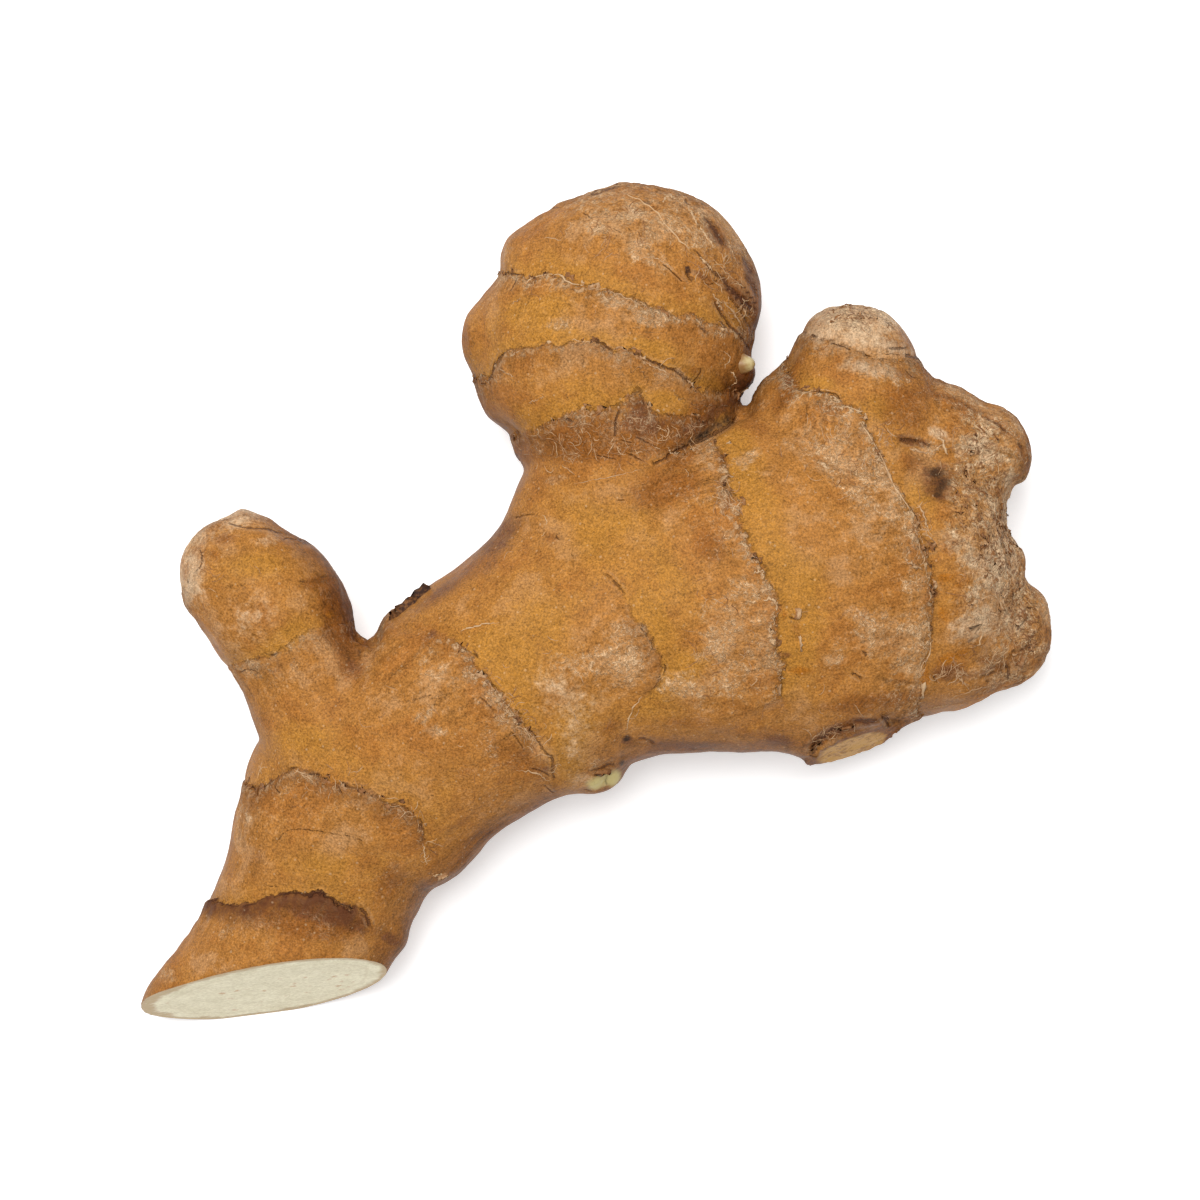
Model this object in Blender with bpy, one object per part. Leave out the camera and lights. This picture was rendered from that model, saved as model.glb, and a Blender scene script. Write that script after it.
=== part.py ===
"""Fresh ginger rhizome, cut from its hand and lying on a table: one solid, as it grew.

Blender 4.5 script, in metres with +Z up. The rhizome lies on the plane Z = 0, centred on the
origin in X and Y. Run it with: blender --background --python part.py

A rhizome is a chain of swollen fingers. Each finger here is a round-ended loft along its own
line, and a voxel remesh grows the fingers together into one skin and rounds the joints
between them. Three flat cuts then finish it: the knife cut that parted it from its hand, the
break where a side shoot snapped off, and the small flats that it rests on.
"""

import math

import bmesh
import bpy
import numpy as np
from mathutils import Vector

MM = 0.001

# Fingers, in millimetres. A station is x, y, z of the finger's middle line, then half of its
# width along the table and half of its height. The tip is how far the round end goes past
# the last station.
FINGERS = {
    "main_axis": {
        "tip": 16.4,
        "stations": (
            (-52.3, -64.0, 12.2, 14.5, 12.8),
            (-47.8, -56.0, 12.3, 14.0, 12.9),
            (-43.5, -48.7, 12.8, 13.8, 12.8),
            (-40.1, -40.5, 13.4, 14.6, 12.8),
            (-36.9, -31.6, 14.6, 16.6, 13.6),
            (-26.8, -21.2, 16.4, 17.2, 15.0),
            (-16.0, -13.6, 17.8, 18.0, 16.4),
            (0.5, -4.0, 19.0, 20.2, 17.6),
            (19.5, 2.2, 18.9, 24.9, 18.8),
            (34.0, 4.0, 18.5, 25.2, 18.9),
            (44.0, 6.4, 17.8, 21.6, 17.2),
        ),
    },
    "left_finger": {
        "tip": 10.0,
        "stations": (
            (-36.8, -21.0, 17.0, 12.6, 12.0),
            (-42.1, -9.4, 18.0, 9.2, 10.6),
            (-47.0, -1.4, 19.4, 10.6, 11.2),
            (-50.4, 3.1, 20.4, 10.0, 10.6),
        ),
    },
    "round_knob": {
        "tip": 14.4,
        "stations": (
            (2.6, 6.0, 19.0, 18.4, 14.0),
            (3.4, 13.0, 19.0, 15.4, 14.2),
            (4.0, 20.5, 18.8, 14.5, 14.8),
            (2.3, 30.0, 18.1, 19.3, 17.6),
            (2.4, 37.0, 17.9, 20.6, 18.3),
            (5.6, 45.4, 17.8, 18.4, 17.2),
        ),
    },
    "knob_eye": {
        "tip": 5.3,
        "stations": (
            (-6.0, 36.0, 18.0, 9.0, 9.0),
            (-15.2, 37.6, 19.4, 6.0, 6.0),
        ),
    },
    "upper_finger": {
        "tip": 8.8,
        "stations": (
            (35.0, 12.0, 19.0, 18.0, 14.0),
            (36.0, 25.0, 19.5, 15.4, 13.0),
            (36.4, 34.0, 20.0, 9.8, 10.0),
        ),
    },
    "upper_end_nub": {
        "tip": 8.2,
        "stations": (
            (42.0, 15.0, 18.5, 15.0, 14.0),
            (48.6, 20.8, 19.0, 11.4, 11.2),
            (55.0, 21.4, 19.4, 7.2, 8.8),
        ),
    },
    "end_pimple": {
        "tip": 5.0,
        "stations": (
            (48.0, 6.0, 18.0, 6.5, 6.5),
            (56.6, 6.2, 20.0, 5.0, 5.0),
        ),
    },
    "lower_end_nub": {
        "tip": 8.6,
        "stations": (
            (42.0, -3.0, 18.0, 16.2, 15.0),
            (51.0, -4.7, 16.6, 12.7, 12.4),
            (56.8, -4.7, 16.0, 8.9, 9.6),
        ),
    },
    "side_shoot": {
        "tip": 4.0,
        "stations": (
            (32.8, -8.0, 18.0, 7.0, 6.0),
            (36.9, -23.0, 18.0, 5.8, 4.4),
        ),
    },
    "belly_eye": {
        "tip": 4.6,
        "stations": (
            (-1.6, -12.0, 17.6, 7.0, 7.0),
            (-0.9, -23.0, 17.4, 5.0, 5.0),
        ),
    },
}

# Flat cuts: a point on the face, and the way the face looks.
KNIFE_CUT = ((-47.9, -55.6, 12.4), (0.117, -0.949, 0.292))
SHOOT_BREAK = ((36.4, -21.5, 17.6), (0.31, -0.89, 0.33))
REST_FLAT = ((0.0, 0.0, 0.0), (0.0, 0.0, -1.0))
SHOOT_BREAK_RADIUS = 10.0  # the break's cutter goes no wider, so it leaves the belly whole
CUTTER_RADIUS = 200.0

AROUND = 32  # points round a finger
CUTTER_SIDES = 48
STEPS = 8  # rings between two stations
CAP_STEPS = 6  # rings in a round end
VOXEL = 0.9
SMOOTH_FACTOR = 0.5
SMOOTH_STEPS = 6
FACES_KEPT = 0.098


def clear_scene():
    for thing in list(bpy.data.objects):
        bpy.data.objects.remove(thing)


def show(name, mesh):
    """Puts a bmesh in the scene as a new object of this name."""
    data = bpy.data.meshes.new(name)
    mesh.to_mesh(data)
    mesh.free()
    thing = bpy.data.objects.new(name, data)
    bpy.context.scene.collection.objects.link(thing)
    return thing


def through(stations):
    """Catmull-Rom curve through the stations, sampled evenly in each span."""
    points = np.array(stations, float)
    ends = np.vstack([2 * points[0] - points[1], points, 2 * points[-1] - points[-2]])
    t = np.linspace(0, 1, STEPS, endpoint=False)[:, None]
    spans = []
    for a, b, c, d in zip(ends[:-3], ends[1:-2], ends[2:-1], ends[3:]):
        bend = 2 * a - 5 * b + 4 * c - d
        twist = 3 * b - a - 3 * c + d
        spans.append(0.5 * (2 * b + (c - a) * t + bend * t**2 + twist * t**3))
    return np.vstack([*spans, points[-1:]])


def round_end(station, way, reach):
    """Stations of half an ellipsoid that closes a finger, growing smaller towards its pole."""
    angles = np.linspace(0, math.pi / 2, CAP_STEPS, endpoint=False)[1:, None]
    centres = station[:3] + reach * np.sin(angles) * way
    return np.hstack([centres, station[3:] * np.cos(angles)])


def add_finger(mesh, stations, tip):
    """Lofts ellipses square to the curve through the stations, and closes both ends round."""
    curve = through(stations)
    start_way = curve[0, :3] - curve[1, :3]
    end_way = curve[-1, :3] - curve[-2, :3]
    start_way /= np.linalg.norm(start_way)
    end_way /= np.linalg.norm(end_way)
    start = round_end(curve[0], start_way, curve[0, 4])
    end = round_end(curve[-1], end_way, tip)
    rings = np.vstack([start[::-1], curve, end])
    ways = np.gradient(rings[:, :3], axis=0)
    sides = np.cross(ways, (0, 0, 1))
    ups = np.cross(sides, ways)
    sides *= (rings[:, 3] / np.linalg.norm(sides, axis=1))[:, None]
    ups *= (rings[:, 4] / np.linalg.norm(ups, axis=1))[:, None]
    loops = []
    for ring, side, up in zip(rings, sides, ups):
        turns = (2 * math.pi * i / AROUND for i in range(AROUND))
        loop = (ring[:3] + math.cos(a) * side + math.sin(a) * up for a in turns)
        loops.append([mesh.verts.new(Vector(point) * MM) for point in loop])
    for lower, upper in zip(loops[:-1], loops[1:]):
        for i in range(AROUND):
            j = (i + 1) % AROUND
            mesh.faces.new((lower[i], lower[j], upper[j], upper[i]))
    for loop, pole in (
        (loops[0], curve[0, :3] + curve[0, 4] * start_way),
        (loops[-1], curve[-1, :3] + tip * end_way),
    ):
        middle = mesh.verts.new(Vector(pole) * MM)
        for i in range(AROUND):
            mesh.faces.new((loop[i], loop[(i + 1) % AROUND], middle))


def flat_cut(thing, name, face, radius):
    """Takes away what a drum covers that stands on a flat face and looks the same way."""
    point, way = (Vector(part) for part in face)
    mesh = bmesh.new()
    bmesh.ops.create_cone(
        mesh,
        cap_ends=True,
        segments=CUTTER_SIDES,
        radius1=radius * MM,
        radius2=radius * MM,
        depth=2 * radius * MM,
    )
    bmesh.ops.translate(mesh, verts=mesh.verts, vec=(0, 0, radius * MM))
    cutter = show(name, mesh)
    cutter.location = point * MM
    cutter.rotation_mode = "QUATERNION"
    cutter.rotation_quaternion = way.to_track_quat("Z", "Y")
    cutter.hide_render = True
    cutter.display_type = "WIRE"
    cut = thing.modifiers.new(name, "BOOLEAN")
    cut.operation = "DIFFERENCE"
    cut.object = cutter


def skin_material():
    material = bpy.data.materials.new("ginger_skin")
    material.use_nodes = True
    shader = material.node_tree.nodes["Principled BSDF"]
    shader.inputs["Base Color"].default_value = (0.42, 0.20, 0.07, 1)
    shader.inputs["Roughness"].default_value = 0.55
    shader.inputs["Metallic"].default_value = 0.0
    return material


def grow_rhizome():
    mesh = bmesh.new()
    for finger in FINGERS.values():
        add_finger(mesh, finger["stations"], finger["tip"])
    bmesh.ops.recalc_face_normals(mesh, faces=mesh.faces)
    rhizome = show("rhizome", mesh)
    rhizome.data.materials.append(skin_material())
    rhizome.data.shade_smooth()
    grown = rhizome.modifiers.new("grown_together", "REMESH")
    grown.mode = "VOXEL"
    grown.voxel_size = VOXEL * MM
    grown.use_smooth_shade = True
    soft = rhizome.modifiers.new("soft_joints", "SMOOTH")
    soft.factor = SMOOTH_FACTOR
    soft.iterations = SMOOTH_STEPS
    fewer = rhizome.modifiers.new("fewer_faces", "DECIMATE")
    fewer.ratio = FACES_KEPT
    return rhizome


def main():
    clear_scene()
    rhizome = grow_rhizome()
    flat_cut(rhizome, "knife_cut", KNIFE_CUT, CUTTER_RADIUS)
    flat_cut(rhizome, "shoot_break", SHOOT_BREAK, SHOOT_BREAK_RADIUS)
    flat_cut(rhizome, "rest_flat", REST_FLAT, CUTTER_RADIUS)


main()
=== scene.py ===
"""Fresh ginger rhizome lying on a pale table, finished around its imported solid."""

import math

import bmesh
import bpy
import numpy as np
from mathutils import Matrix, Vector


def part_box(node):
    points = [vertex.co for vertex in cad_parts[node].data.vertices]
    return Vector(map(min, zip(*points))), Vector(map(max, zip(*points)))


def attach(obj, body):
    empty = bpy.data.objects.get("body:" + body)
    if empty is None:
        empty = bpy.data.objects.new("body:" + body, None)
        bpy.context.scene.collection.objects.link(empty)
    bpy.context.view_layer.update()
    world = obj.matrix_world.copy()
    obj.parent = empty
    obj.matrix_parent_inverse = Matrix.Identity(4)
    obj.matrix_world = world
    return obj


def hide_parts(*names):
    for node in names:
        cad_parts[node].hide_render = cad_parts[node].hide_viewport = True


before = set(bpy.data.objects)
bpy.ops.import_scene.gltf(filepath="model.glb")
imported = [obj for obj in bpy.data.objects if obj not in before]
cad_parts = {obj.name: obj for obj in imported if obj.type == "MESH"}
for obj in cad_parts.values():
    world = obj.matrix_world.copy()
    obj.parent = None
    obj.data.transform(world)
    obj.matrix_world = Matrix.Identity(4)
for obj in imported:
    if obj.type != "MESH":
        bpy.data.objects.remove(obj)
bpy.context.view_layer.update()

MM = 0.001  # metres in a millimetre
low_corner, high_corner = (np.array(corner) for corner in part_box("rhizome"))
middle = (low_corner + high_corner) / 2
span = high_corner[0] - low_corner[0]


# ----------------------------------------------------------------------------------------
# The table, the soft light and the camera. A pale matt table top, one wide lamp behind and
# to the left of the root, a white room all round, and the eye straight above it.
# ----------------------------------------------------------------------------------------
TABLE_HALF = 12  # half the side of the table top, in root lengths
TABLE_WHITE = 0.90
TABLE_GLOW = 0.38  # light of the table's own, which keeps it as pale as the room
LAMP_PLACE = (-0.5, 0.9, 4.0)  # from the middle of the root, in root lengths
LAMP_SIZE = 1.8  # in root lengths
LAMP_POWER = 3.0
ROOM_LIGHT = 0.50
LENS = 85.0
SENSOR = 36.0
VIEW_WIDTH = 173.3  # the width of table that the eye takes in, at the height of the waist
WAIST = 18.0  # the height at which the fingers are widest
EYE = VIEW_WIDTH * LENS / SENSOR  # how far the eye is above the waist


def added(name, data):
    """A new object of this name around its data, in the scene."""
    thing = bpy.data.objects.new(name, data)
    bpy.context.scene.collection.objects.link(thing)
    return thing


def table_top():
    half = TABLE_HALF * span
    mesh = bpy.data.meshes.new("table_top")
    corners = [(-half, -half, 0), (half, -half, 0), (half, half, 0), (-half, half, 0)]
    mesh.from_pydata(corners, [], [(0, 1, 2, 3)])
    paint = bpy.data.materials.new("table_paint")
    paint.use_nodes = True
    sockets = paint.node_tree.nodes["Principled BSDF"].inputs
    sockets["Base Color"].default_value = (TABLE_WHITE, TABLE_WHITE, TABLE_WHITE, 1)
    sockets["Roughness"].default_value = 0.9
    sockets["Specular IOR Level"].default_value = 0.1
    sockets["Emission Color"].default_value = (1, 1, 1, 1)
    sockets["Emission Strength"].default_value = TABLE_GLOW
    mesh.materials.append(paint)
    table = added("table_top", mesh)


def window_lamp():
    """A square area lamp aimed at the middle of the root."""
    data = bpy.data.lights.new("window", "AREA")
    data.size = LAMP_SIZE * span
    data.energy = LAMP_POWER
    lamp = added("window", data)
    lamp.location = Vector(middle) + Vector(LAMP_PLACE) * span
    aim = Vector(middle) - lamp.location
    lamp.rotation_euler = aim.to_track_quat("-Z", "Y").to_euler()


def white_room():
    world = bpy.data.worlds.new("white_room")
    world.use_nodes = True
    sky = world.node_tree.nodes["Background"]
    sky.inputs["Color"].default_value = (1, 1, 1, 1)
    sky.inputs["Strength"].default_value = ROOM_LIGHT
    bpy.context.scene.world = world


def camera():
    data = bpy.data.cameras.new("camera")
    data.lens = LENS
    data.sensor_width = SENSOR
    data.dof.use_dof = False
    eye = added("camera", data)
    eye.location = (0, 0, (WAIST + EYE) * MM)
    bpy.context.scene.camera = eye
    bpy.context.scene.view_settings.view_transform = "Standard"


table_top()
window_lamp()
white_room()
camera()


# ----------------------------------------------------------------------------------------
# The rhizome: one swollen underground stem with its fingers, under a thin corky skin. Each
# length of it ends in a ring, the scar of a papery sheath. One end is cut with a knife, and
# a side shoot is snapped off below.
# ----------------------------------------------------------------------------------------
GRID = 0.595  # size of the skin's mesh, in millimetres

# The two cut faces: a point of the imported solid's flat face and the way it faces, the way that
# the grain runs there, how far the face reaches and how far it is drawn out along the grain,
# and then a point of the finished flat face and the way that one faces.
KNIFE_CUT = {
    "point": (-47.9, -55.6, 12.4), "way": (0.117, -0.949, 0.292),
    "grain": (-0.49, -0.872, 0.0), "reach": 60.0, "draw": 7.0,
    "trim": (-47.9, -57.0, 12.4), "slant": (0.117, -0.920, 0.372),
}
SHOOT_BREAK = {
    "point": (36.4, -21.5, 17.6), "way": (0.31, -0.89, 0.33),
    "grain": (0.31, -0.89, 0.33), "reach": 8.0, "draw": 1.6,
    "trim": (36.4, -21.5, 17.6), "slant": (0.31, -0.89, 0.33),
}

# Middle lines of the fingers: x, y, z and the half-width there, in millimetres.
STEM = [
    (-56, -71, 12, 15), (-47.8, -56, 12.3, 14), (-40.1, -40.5, 13.4, 14.6),
    (-36.9, -31.6, 14.6, 16), (-26.8, -21.2, 16.4, 17), (-16, -13.6, 17.8, 18), (0.5, -4, 19, 20),
    (19.5, 2.2, 18.9, 23), (34, 4, 18.5, 23), (46, 6.4, 17.8, 20), (60, 8, 17.8, 14),
]
LEFT = [
    (-36.8, -21, 17, 12), (-42.1, -9.4, 18, 9.6), (-47, -1.4, 19.4, 10.6), (-50.4, 3.1, 20.4, 10),
    (-55, 11, 21, 8),
]
KNOB = [
    (2.6, 6, 19, 17), (4, 20.5, 18.8, 14.5), (2.3, 30, 18.1, 19), (2.4, 37, 17.9, 20.5),
    (5.6, 45.4, 17.8, 18), (8, 58, 17.8, 12),
]
UPPER = [
    (35, 12, 19, 17), (36, 25, 19.5, 15), (36.4, 34, 20, 10), (36.8, 42, 20, 8),
]
UPPER_NUB = [
    (42, 15, 18.5, 14), (48.6, 20.8, 19, 11), (55, 21.4, 19.4, 8), (62, 22, 19.4, 6),
]
LOWER_NUB = [
    (42, -3, 18, 15), (51, -4.7, 16.6, 12), (56.8, -4.7, 16, 9), (64, -4.7, 16, 7),
]


def drawn_solid():
    """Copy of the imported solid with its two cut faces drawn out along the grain.

    The mesh is then smoothed and remade on an even grid; the drawn-out ends are cut back to
    their flat faces afterwards, which leaves the rims crisp.
    """
    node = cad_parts["rhizome"]
    same_place = 0.002 * MM
    on_face = 0.03 * MM
    mesh = bmesh.new()
    mesh.from_mesh(node.data)
    mesh.transform(node.matrix_world)
    bmesh.ops.remove_doubles(mesh, verts=mesh.verts, dist=same_place)
    for cut in (KNIFE_CUT, SHOOT_BREAK):
        point = Vector(cut["point"]) * MM
        way = Vector(cut["way"]).normalized()
        for vertex in mesh.verts:
            gap = vertex.co - point
            if abs(gap.dot(way)) < on_face and gap.length < cut["reach"] * MM:
                vertex.co += Vector(cut["grain"]) * cut["draw"] * MM
    data = bpy.data.meshes.new("drawn_solid")
    mesh.to_mesh(data)
    mesh.free()
    thing = added("drawn_solid", data)
    round_off = thing.modifiers.new("round_off", "SUBSURF")
    round_off.levels = round_off.render_levels = 2
    even = thing.modifiers.new("even_grid", "REMESH")
    even.mode = "VOXEL"
    even.voxel_size = GRID * MM
    soften = thing.modifiers.new("soften", "SMOOTH")
    soften.factor = 0.5
    soften.iterations = 8
    graph = bpy.context.evaluated_depsgraph_get()
    made = bpy.data.meshes.new_from_object(thing.evaluated_get(graph))
    bpy.data.objects.remove(thing)
    return made


def points_of(mesh):
    """The mesh's vertices and their normals, in millimetres, as two arrays."""
    place = np.empty(len(mesh.vertices) * 3)
    mesh.vertices.foreach_get("co", place)
    facing = np.empty(len(mesh.vertices) * 3)
    mesh.vertex_normals.foreach_get("vector", facing)
    return place.reshape(-1, 3) / MM, facing.reshape(-1, 3)


def unit(vector):
    """The vector, or each row of vectors, at length one."""
    vector = np.array(vector, float)
    return vector / np.linalg.norm(vector, axis=-1, keepdims=True)


def cut_back(place, cut):
    """Moves what is past a flat face back onto it along the grain; says which points those are."""
    way, grain = unit(cut["slant"]), unit(cut["grain"])
    gap = place - cut["trim"]
    depth = gap @ way
    past = (depth > -0.02) & (np.linalg.norm(gap, axis=1) < cut["reach"])
    place[past] -= (depth[past] / (grain @ way))[:, None] * grain
    return past


def smooth_step(low, high, value):
    """0 below low, 1 above high, and an easy curve between; high may be the smaller one."""
    part = np.clip((value - low) / (high - low), 0, 1)
    return part * part * (3 - 2 * part)


def lattice_hash(cell, seed):
    """A whole number for each lattice cell: its three indices mixed by multiply and shift."""
    mix = cell.astype(np.int64) @ np.array([73856093, 19349663, 83492791], np.int64)
    mix = (mix + seed * 1013904223) & 0xFFFFFFFF
    mix = ((mix ^ (mix >> 15)) * 2246822519) & 0xFFFFFFFF
    mix = ((mix ^ (mix >> 13)) * 3266489917) & 0xFFFFFFFF
    return mix ^ (mix >> 16)


def noise(place, size, seed):
    """Gradient noise in -1 to 1: slopes at lattice corners, blended by the quintic curve."""
    spot = place / size
    cell = np.floor(spot).astype(np.int64)
    part = spot - cell
    ease = part**3 * (part * (part * 6 - 15) + 10)
    total = np.zeros(len(place))
    for corner in np.ndindex(2, 2, 2):
        number = lattice_hash(cell + corner, seed)
        slopes = np.stack([(number >> shift & 255) / 127.5 - 1 for shift in (0, 8, 16)], axis=1)
        pull = ((part - corner) * slopes).sum(axis=1)
        total += pull * np.prod(np.where(corner, ease, 1 - ease), axis=1)
    return total * 1.4


def layered(place, size, seed, layers=3):
    """Sum of noises, each half the size and half the strength of the one before."""
    return sum(noise(place, size / 2**k, seed + k) / 2**k for k in range(layers)) / 1.5


def crumbs(place, size, seed):
    """Cell noise: distance to the nearest and to the second nearest of the scattered points."""
    spot = place / size
    cell = np.floor(spot).astype(np.int64)
    first = np.full(len(place), 9.0)
    second = np.full(len(place), 9.0)
    for step in np.ndindex(3, 3, 3):
        near = cell + step - 1
        number = lattice_hash(near, seed)
        jitter = np.stack([(number >> shift & 255) / 255 for shift in (0, 8, 16)], axis=1)
        gap = np.linalg.norm(near + jitter - spot, axis=1)
        second = np.minimum(second, np.maximum(first, gap))
        first = np.minimum(first, gap)
    return first, second


def through(points, steps=12):
    """Catmull-Rom curve through the points, sampled evenly in each span."""
    points = np.array(points, float)
    ends = np.vstack([2 * points[0] - points[1], points, 2 * points[-1] - points[-2]])
    t = np.linspace(0, 1, steps, endpoint=False)[:, None]
    spans = []
    for a, b, c, d in zip(ends[:-3], ends[1:-2], ends[2:-1], ends[3:]):
        bend = 2 * a - 5 * b + 4 * c - d
        twist = 3 * b - a - 3 * c + d
        spans.append(0.5 * (2 * b + (c - a) * t + bend * t**2 + twist * t**3))
    return np.vstack([*spans, points[-1:]])


def along(place, line):
    """Where each point is on a finger: millimetres along its middle line, to the side and up;
    its distance from the line as a share of the half-width there; and the way the finger grows."""
    curve = through(line)
    centre, width = curve[:, :3], curve[:, 3]
    way = unit(np.gradient(centre, axis=0))
    side = unit(np.cross(way, (0, 0, 1)))
    up = np.cross(side, way)
    length = np.concatenate([[0], np.linalg.norm(np.diff(centre, axis=0), axis=1).cumsum()])
    square = (place**2).sum(axis=1)[:, None] - 2 * place @ centre.T + (centre**2).sum(axis=1)
    nearest = square.argmin(axis=1)
    gap = place - centre[nearest]
    ahead = (gap * way[nearest]).sum(axis=1)
    across = (gap * side[nearest]).sum(axis=1)
    above = (gap * up[nearest]).sum(axis=1)
    share = np.hypot(across, above) / width[nearest]
    return np.stack([length[nearest] + ahead, across, above], axis=1), share, way[nearest]


def seen_from_above(place):
    """Plan position as the eye straight above sees it: what is nearer spreads outwards."""
    return place[:, :2] * (EYE / (EYE - (place[:, 2] - WAIST)))[:, None]


def past_ring(place, facing, seen, line):
    """Signed distance to a ring, growing tipwards, from its line across the top.

    The line is a curve over the straight chord between its ends. Where the skin faces down it
    bows the other way, as a slanting hoop does. Noise makes the edge wander.
    """
    line = np.array(line, float)
    chord = unit(line[-1] - line[0])
    tipwards = np.array([-chord[1], chord[0]])
    reach = (line - line[0]) @ chord
    bow = (line - line[0]) @ tipwards
    fine = np.linspace(reach[0], reach[-1], 120)
    curve = np.interp(fine, reach, bow)
    kernel = np.hanning(9) / np.hanning(9).sum()
    curve = np.convolve(np.pad(curve, 4, mode="edge"), kernel, mode="valid")
    slope = np.gradient(curve, fine)
    gap = seen - line[0]
    spot = gap @ chord
    under = smooth_step(0.1, -0.9, facing[:, 2])
    here = np.interp(spot, fine, curve) * (1 - 1.3 * under)
    steep = np.interp(spot, fine, slope) * (1 - under)
    edge = EDGE_WANDER * (0.6 * noise(place, 3.1, 11) + 0.4 * noise(place, 1.3, 12))
    return (gap @ tipwards - here - edge) / np.hypot(1, steep)


# Rings of each finger from its base to its tip: the line across the top, in millimetres with
# the tip side on the left, how high its lip stands, how dark its edge is, how flaky it is,
# and how golden the new skin is just past it.
RINGS = {
    "near_cut": {
        "line": [(-53, -44.2), (-50, -43.6), (-47.4, -42.8), (-44.6, -42.1), (-42.4, -42.7),
                 (-40.6, -42), (-39.4, -42.6), (-38, -43.8), (-36.6, -44.6), (-35, -44.4),
                 (-34, -45.2), (-33, -47.2), (-31, -48.6), (-28.9, -49.5)],
        "lip": 0.9, "dark": 0.9, "flaky": 0.25, "fresh": 0.7,
    },
    "second": {
        "line": [(-51.4, -26.6), (-49.6, -27.6), (-48, -26.6), (-45.8, -25.2), (-44, -24.2),
                 (-42.4, -24.9), (-40.6, -25.2), (-38.6, -26.2), (-36, -27), (-32.6, -28),
                 (-31, -29.6), (-29.2, -29.4), (-27.4, -30.6), (-26, -31.6), (-25.4, -33.4),
                 (-25.6, -35.4), (-25.3, -37.8), (-24.2, -39.6), (-21.6, -40.3)],
        "lip": 0.5, "dark": 0.4, "flaky": 0.8, "fresh": 0.6,
    },
    "third": {
        "line": [(-28.7, -2.6), (-23, -4.6), (-20, -6.6), (-18.4, -7.8), (-18, -9.8), (-16, -12),
                 (-14.2, -13.6), (-12.2, -16.6), (-10.4, -18.6), (-9, -20.8), (-7, -23),
                 (-6.6, -25.8), (-5.4, -28.3)],
        "lip": 0.5, "dark": 0.15, "flaky": 1.0, "fresh": 1.0,
    },
    "fourth": {
        "line": [(-13.7, 11.7), (-11, 12.3), (-9, 12.2), (-6.4, 9.4), (-5, 7.9), (-3, 6),
                 (0.3, 4), (2.4, 2.4), (3.9, 0), (5.4, -2.8), (7, -4.8), (7.6, -7), (9.1, -9.3),
                 (9, -11), (7.4, -13.2), (5.8, -14.6), (4.2, -17), (3.9, -19.4)],
        "lip": 0.45, "dark": 0.25, "flaky": 0.15, "fresh": 1.0,
    },
    "fifth": {
        "line": [(16.4, 22.6), (17.8, 20.4), (18.6, 18), (18.4, 16), (20.6, 13.9), (20.2, 11.4),
                 (21.4, 8.6), (22.6, 6.2), (24.4, 3.2), (25.8, 0.6), (25.9, -1.6), (25.4, -4),
                 (25.6, -7), (26.2, -9.6), (26, -12.2), (26.1, -17.8)],
        "lip": 0.5, "dark": 0.1, "flaky": 0.9, "fresh": 1.0,
    },
    "sixth": {
        "line": [(28, 30.6), (30, 30.2), (34.4, 29.9), (35.2, 28.2), (37, 27.4), (38.4, 26.8),
                 (38.2, 25.2), (39.6, 23.6), (40.6, 21), (42, 18), (43.6, 15.2), (45.3, 12.8),
                 (46.2, 10.2), (47, 7), (48.2, 3), (48.4, 0.8), (48, -3), (48, -6.4),
                 (47.2, -8.6), (46.2, -10.8), (46, -13.4), (45.8, -15.6)],
        "lip": 0.4, "dark": 0.0, "flaky": 1.0, "fresh": 0.5,
    },
    "left_base": {
        "line": [(-51.6, -9), (-50.2, -8.6), (-48, -8), (-45.4, -6.8), (-43.6, -5.4), (-42, -4.3),
                 (-40.1, -3.9), (-37.4, -3.6)],
        "lip": 0.3, "dark": 0.12, "flaky": 0.2, "fresh": 0.8,
    },
    "left_middle": {
        "line": [(-56.4, 1.8), (-52.4, 2), (-50, 2.5), (-45, 2.6), (-41.4, 2.8), (-39, 4)],
        "lip": 0.12, "dark": 0.1, "flaky": 0.1, "fresh": 0.8,
    },
    "left_tip": {
        "line": [(-54.6, 11.2), (-50.6, 10.5), (-48, 10.3), (-45.8, 9.4), (-43.8, 8.7),
                 (-42, 8.2)],
        "lip": 0.35, "dark": 0.3, "flaky": 0.1, "fresh": 0.3,
    },
    "knob_base": {
        "line": [(-11.4, 23.6), (-9.6, 24.4), (-7.4, 25.2), (-5.8, 26.6), (-3.4, 27.3),
                 (0.8, 27.6), (2.8, 27.8), (4, 29), (5.2, 30.6), (6.2, 29), (7.6, 27.4),
                 (10, 26.8), (12.6, 26.4), (15.2, 25.6)],
        "lip": 0.4, "dark": 0.3, "flaky": 0.6, "fresh": 1.0,
    },
    "knob_middle": {
        "line": [(-16.4, 31.4), (-15.4, 33.8), (-14.2, 35.4), (-12, 36.4), (-8, 36.9),
                 (-3, 37.1), (-0.8, 37.5), (0.8, 37), (2.4, 35.9), (5, 35.8), (6.6, 34.9),
                 (9.6, 33.9), (11.2, 33), (12.6, 31.7), (14.6, 30.2)],
        "lip": 0.32, "dark": 0.25, "flaky": 0.45, "fresh": 1.0,
    },
    "knob_top": {
        "line": [(-14.6, 47.4), (-12.6, 47.2), (-10.4, 46.2), (-7.6, 47), (-5.2, 46.6),
                 (-3.6, 45.6), (-1.4, 45.2), (1, 44.9), (3.6, 43.9), (6.9, 42.3)],
        "lip": 0.25, "dark": 0.1, "flaky": 0.8, "fresh": 0.8,
    },
    "upper_tip": {
        "line": [(29.6, 38.6), (31.4, 37.9), (34.4, 36.8), (36.8, 35.8), (40, 35.1),
                 (43, 34.9), (46.6, 34.6)],
        "lip": 0.3, "dark": 0.2, "flaky": 0.3, "fresh": 0.1,
    },
}
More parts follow.
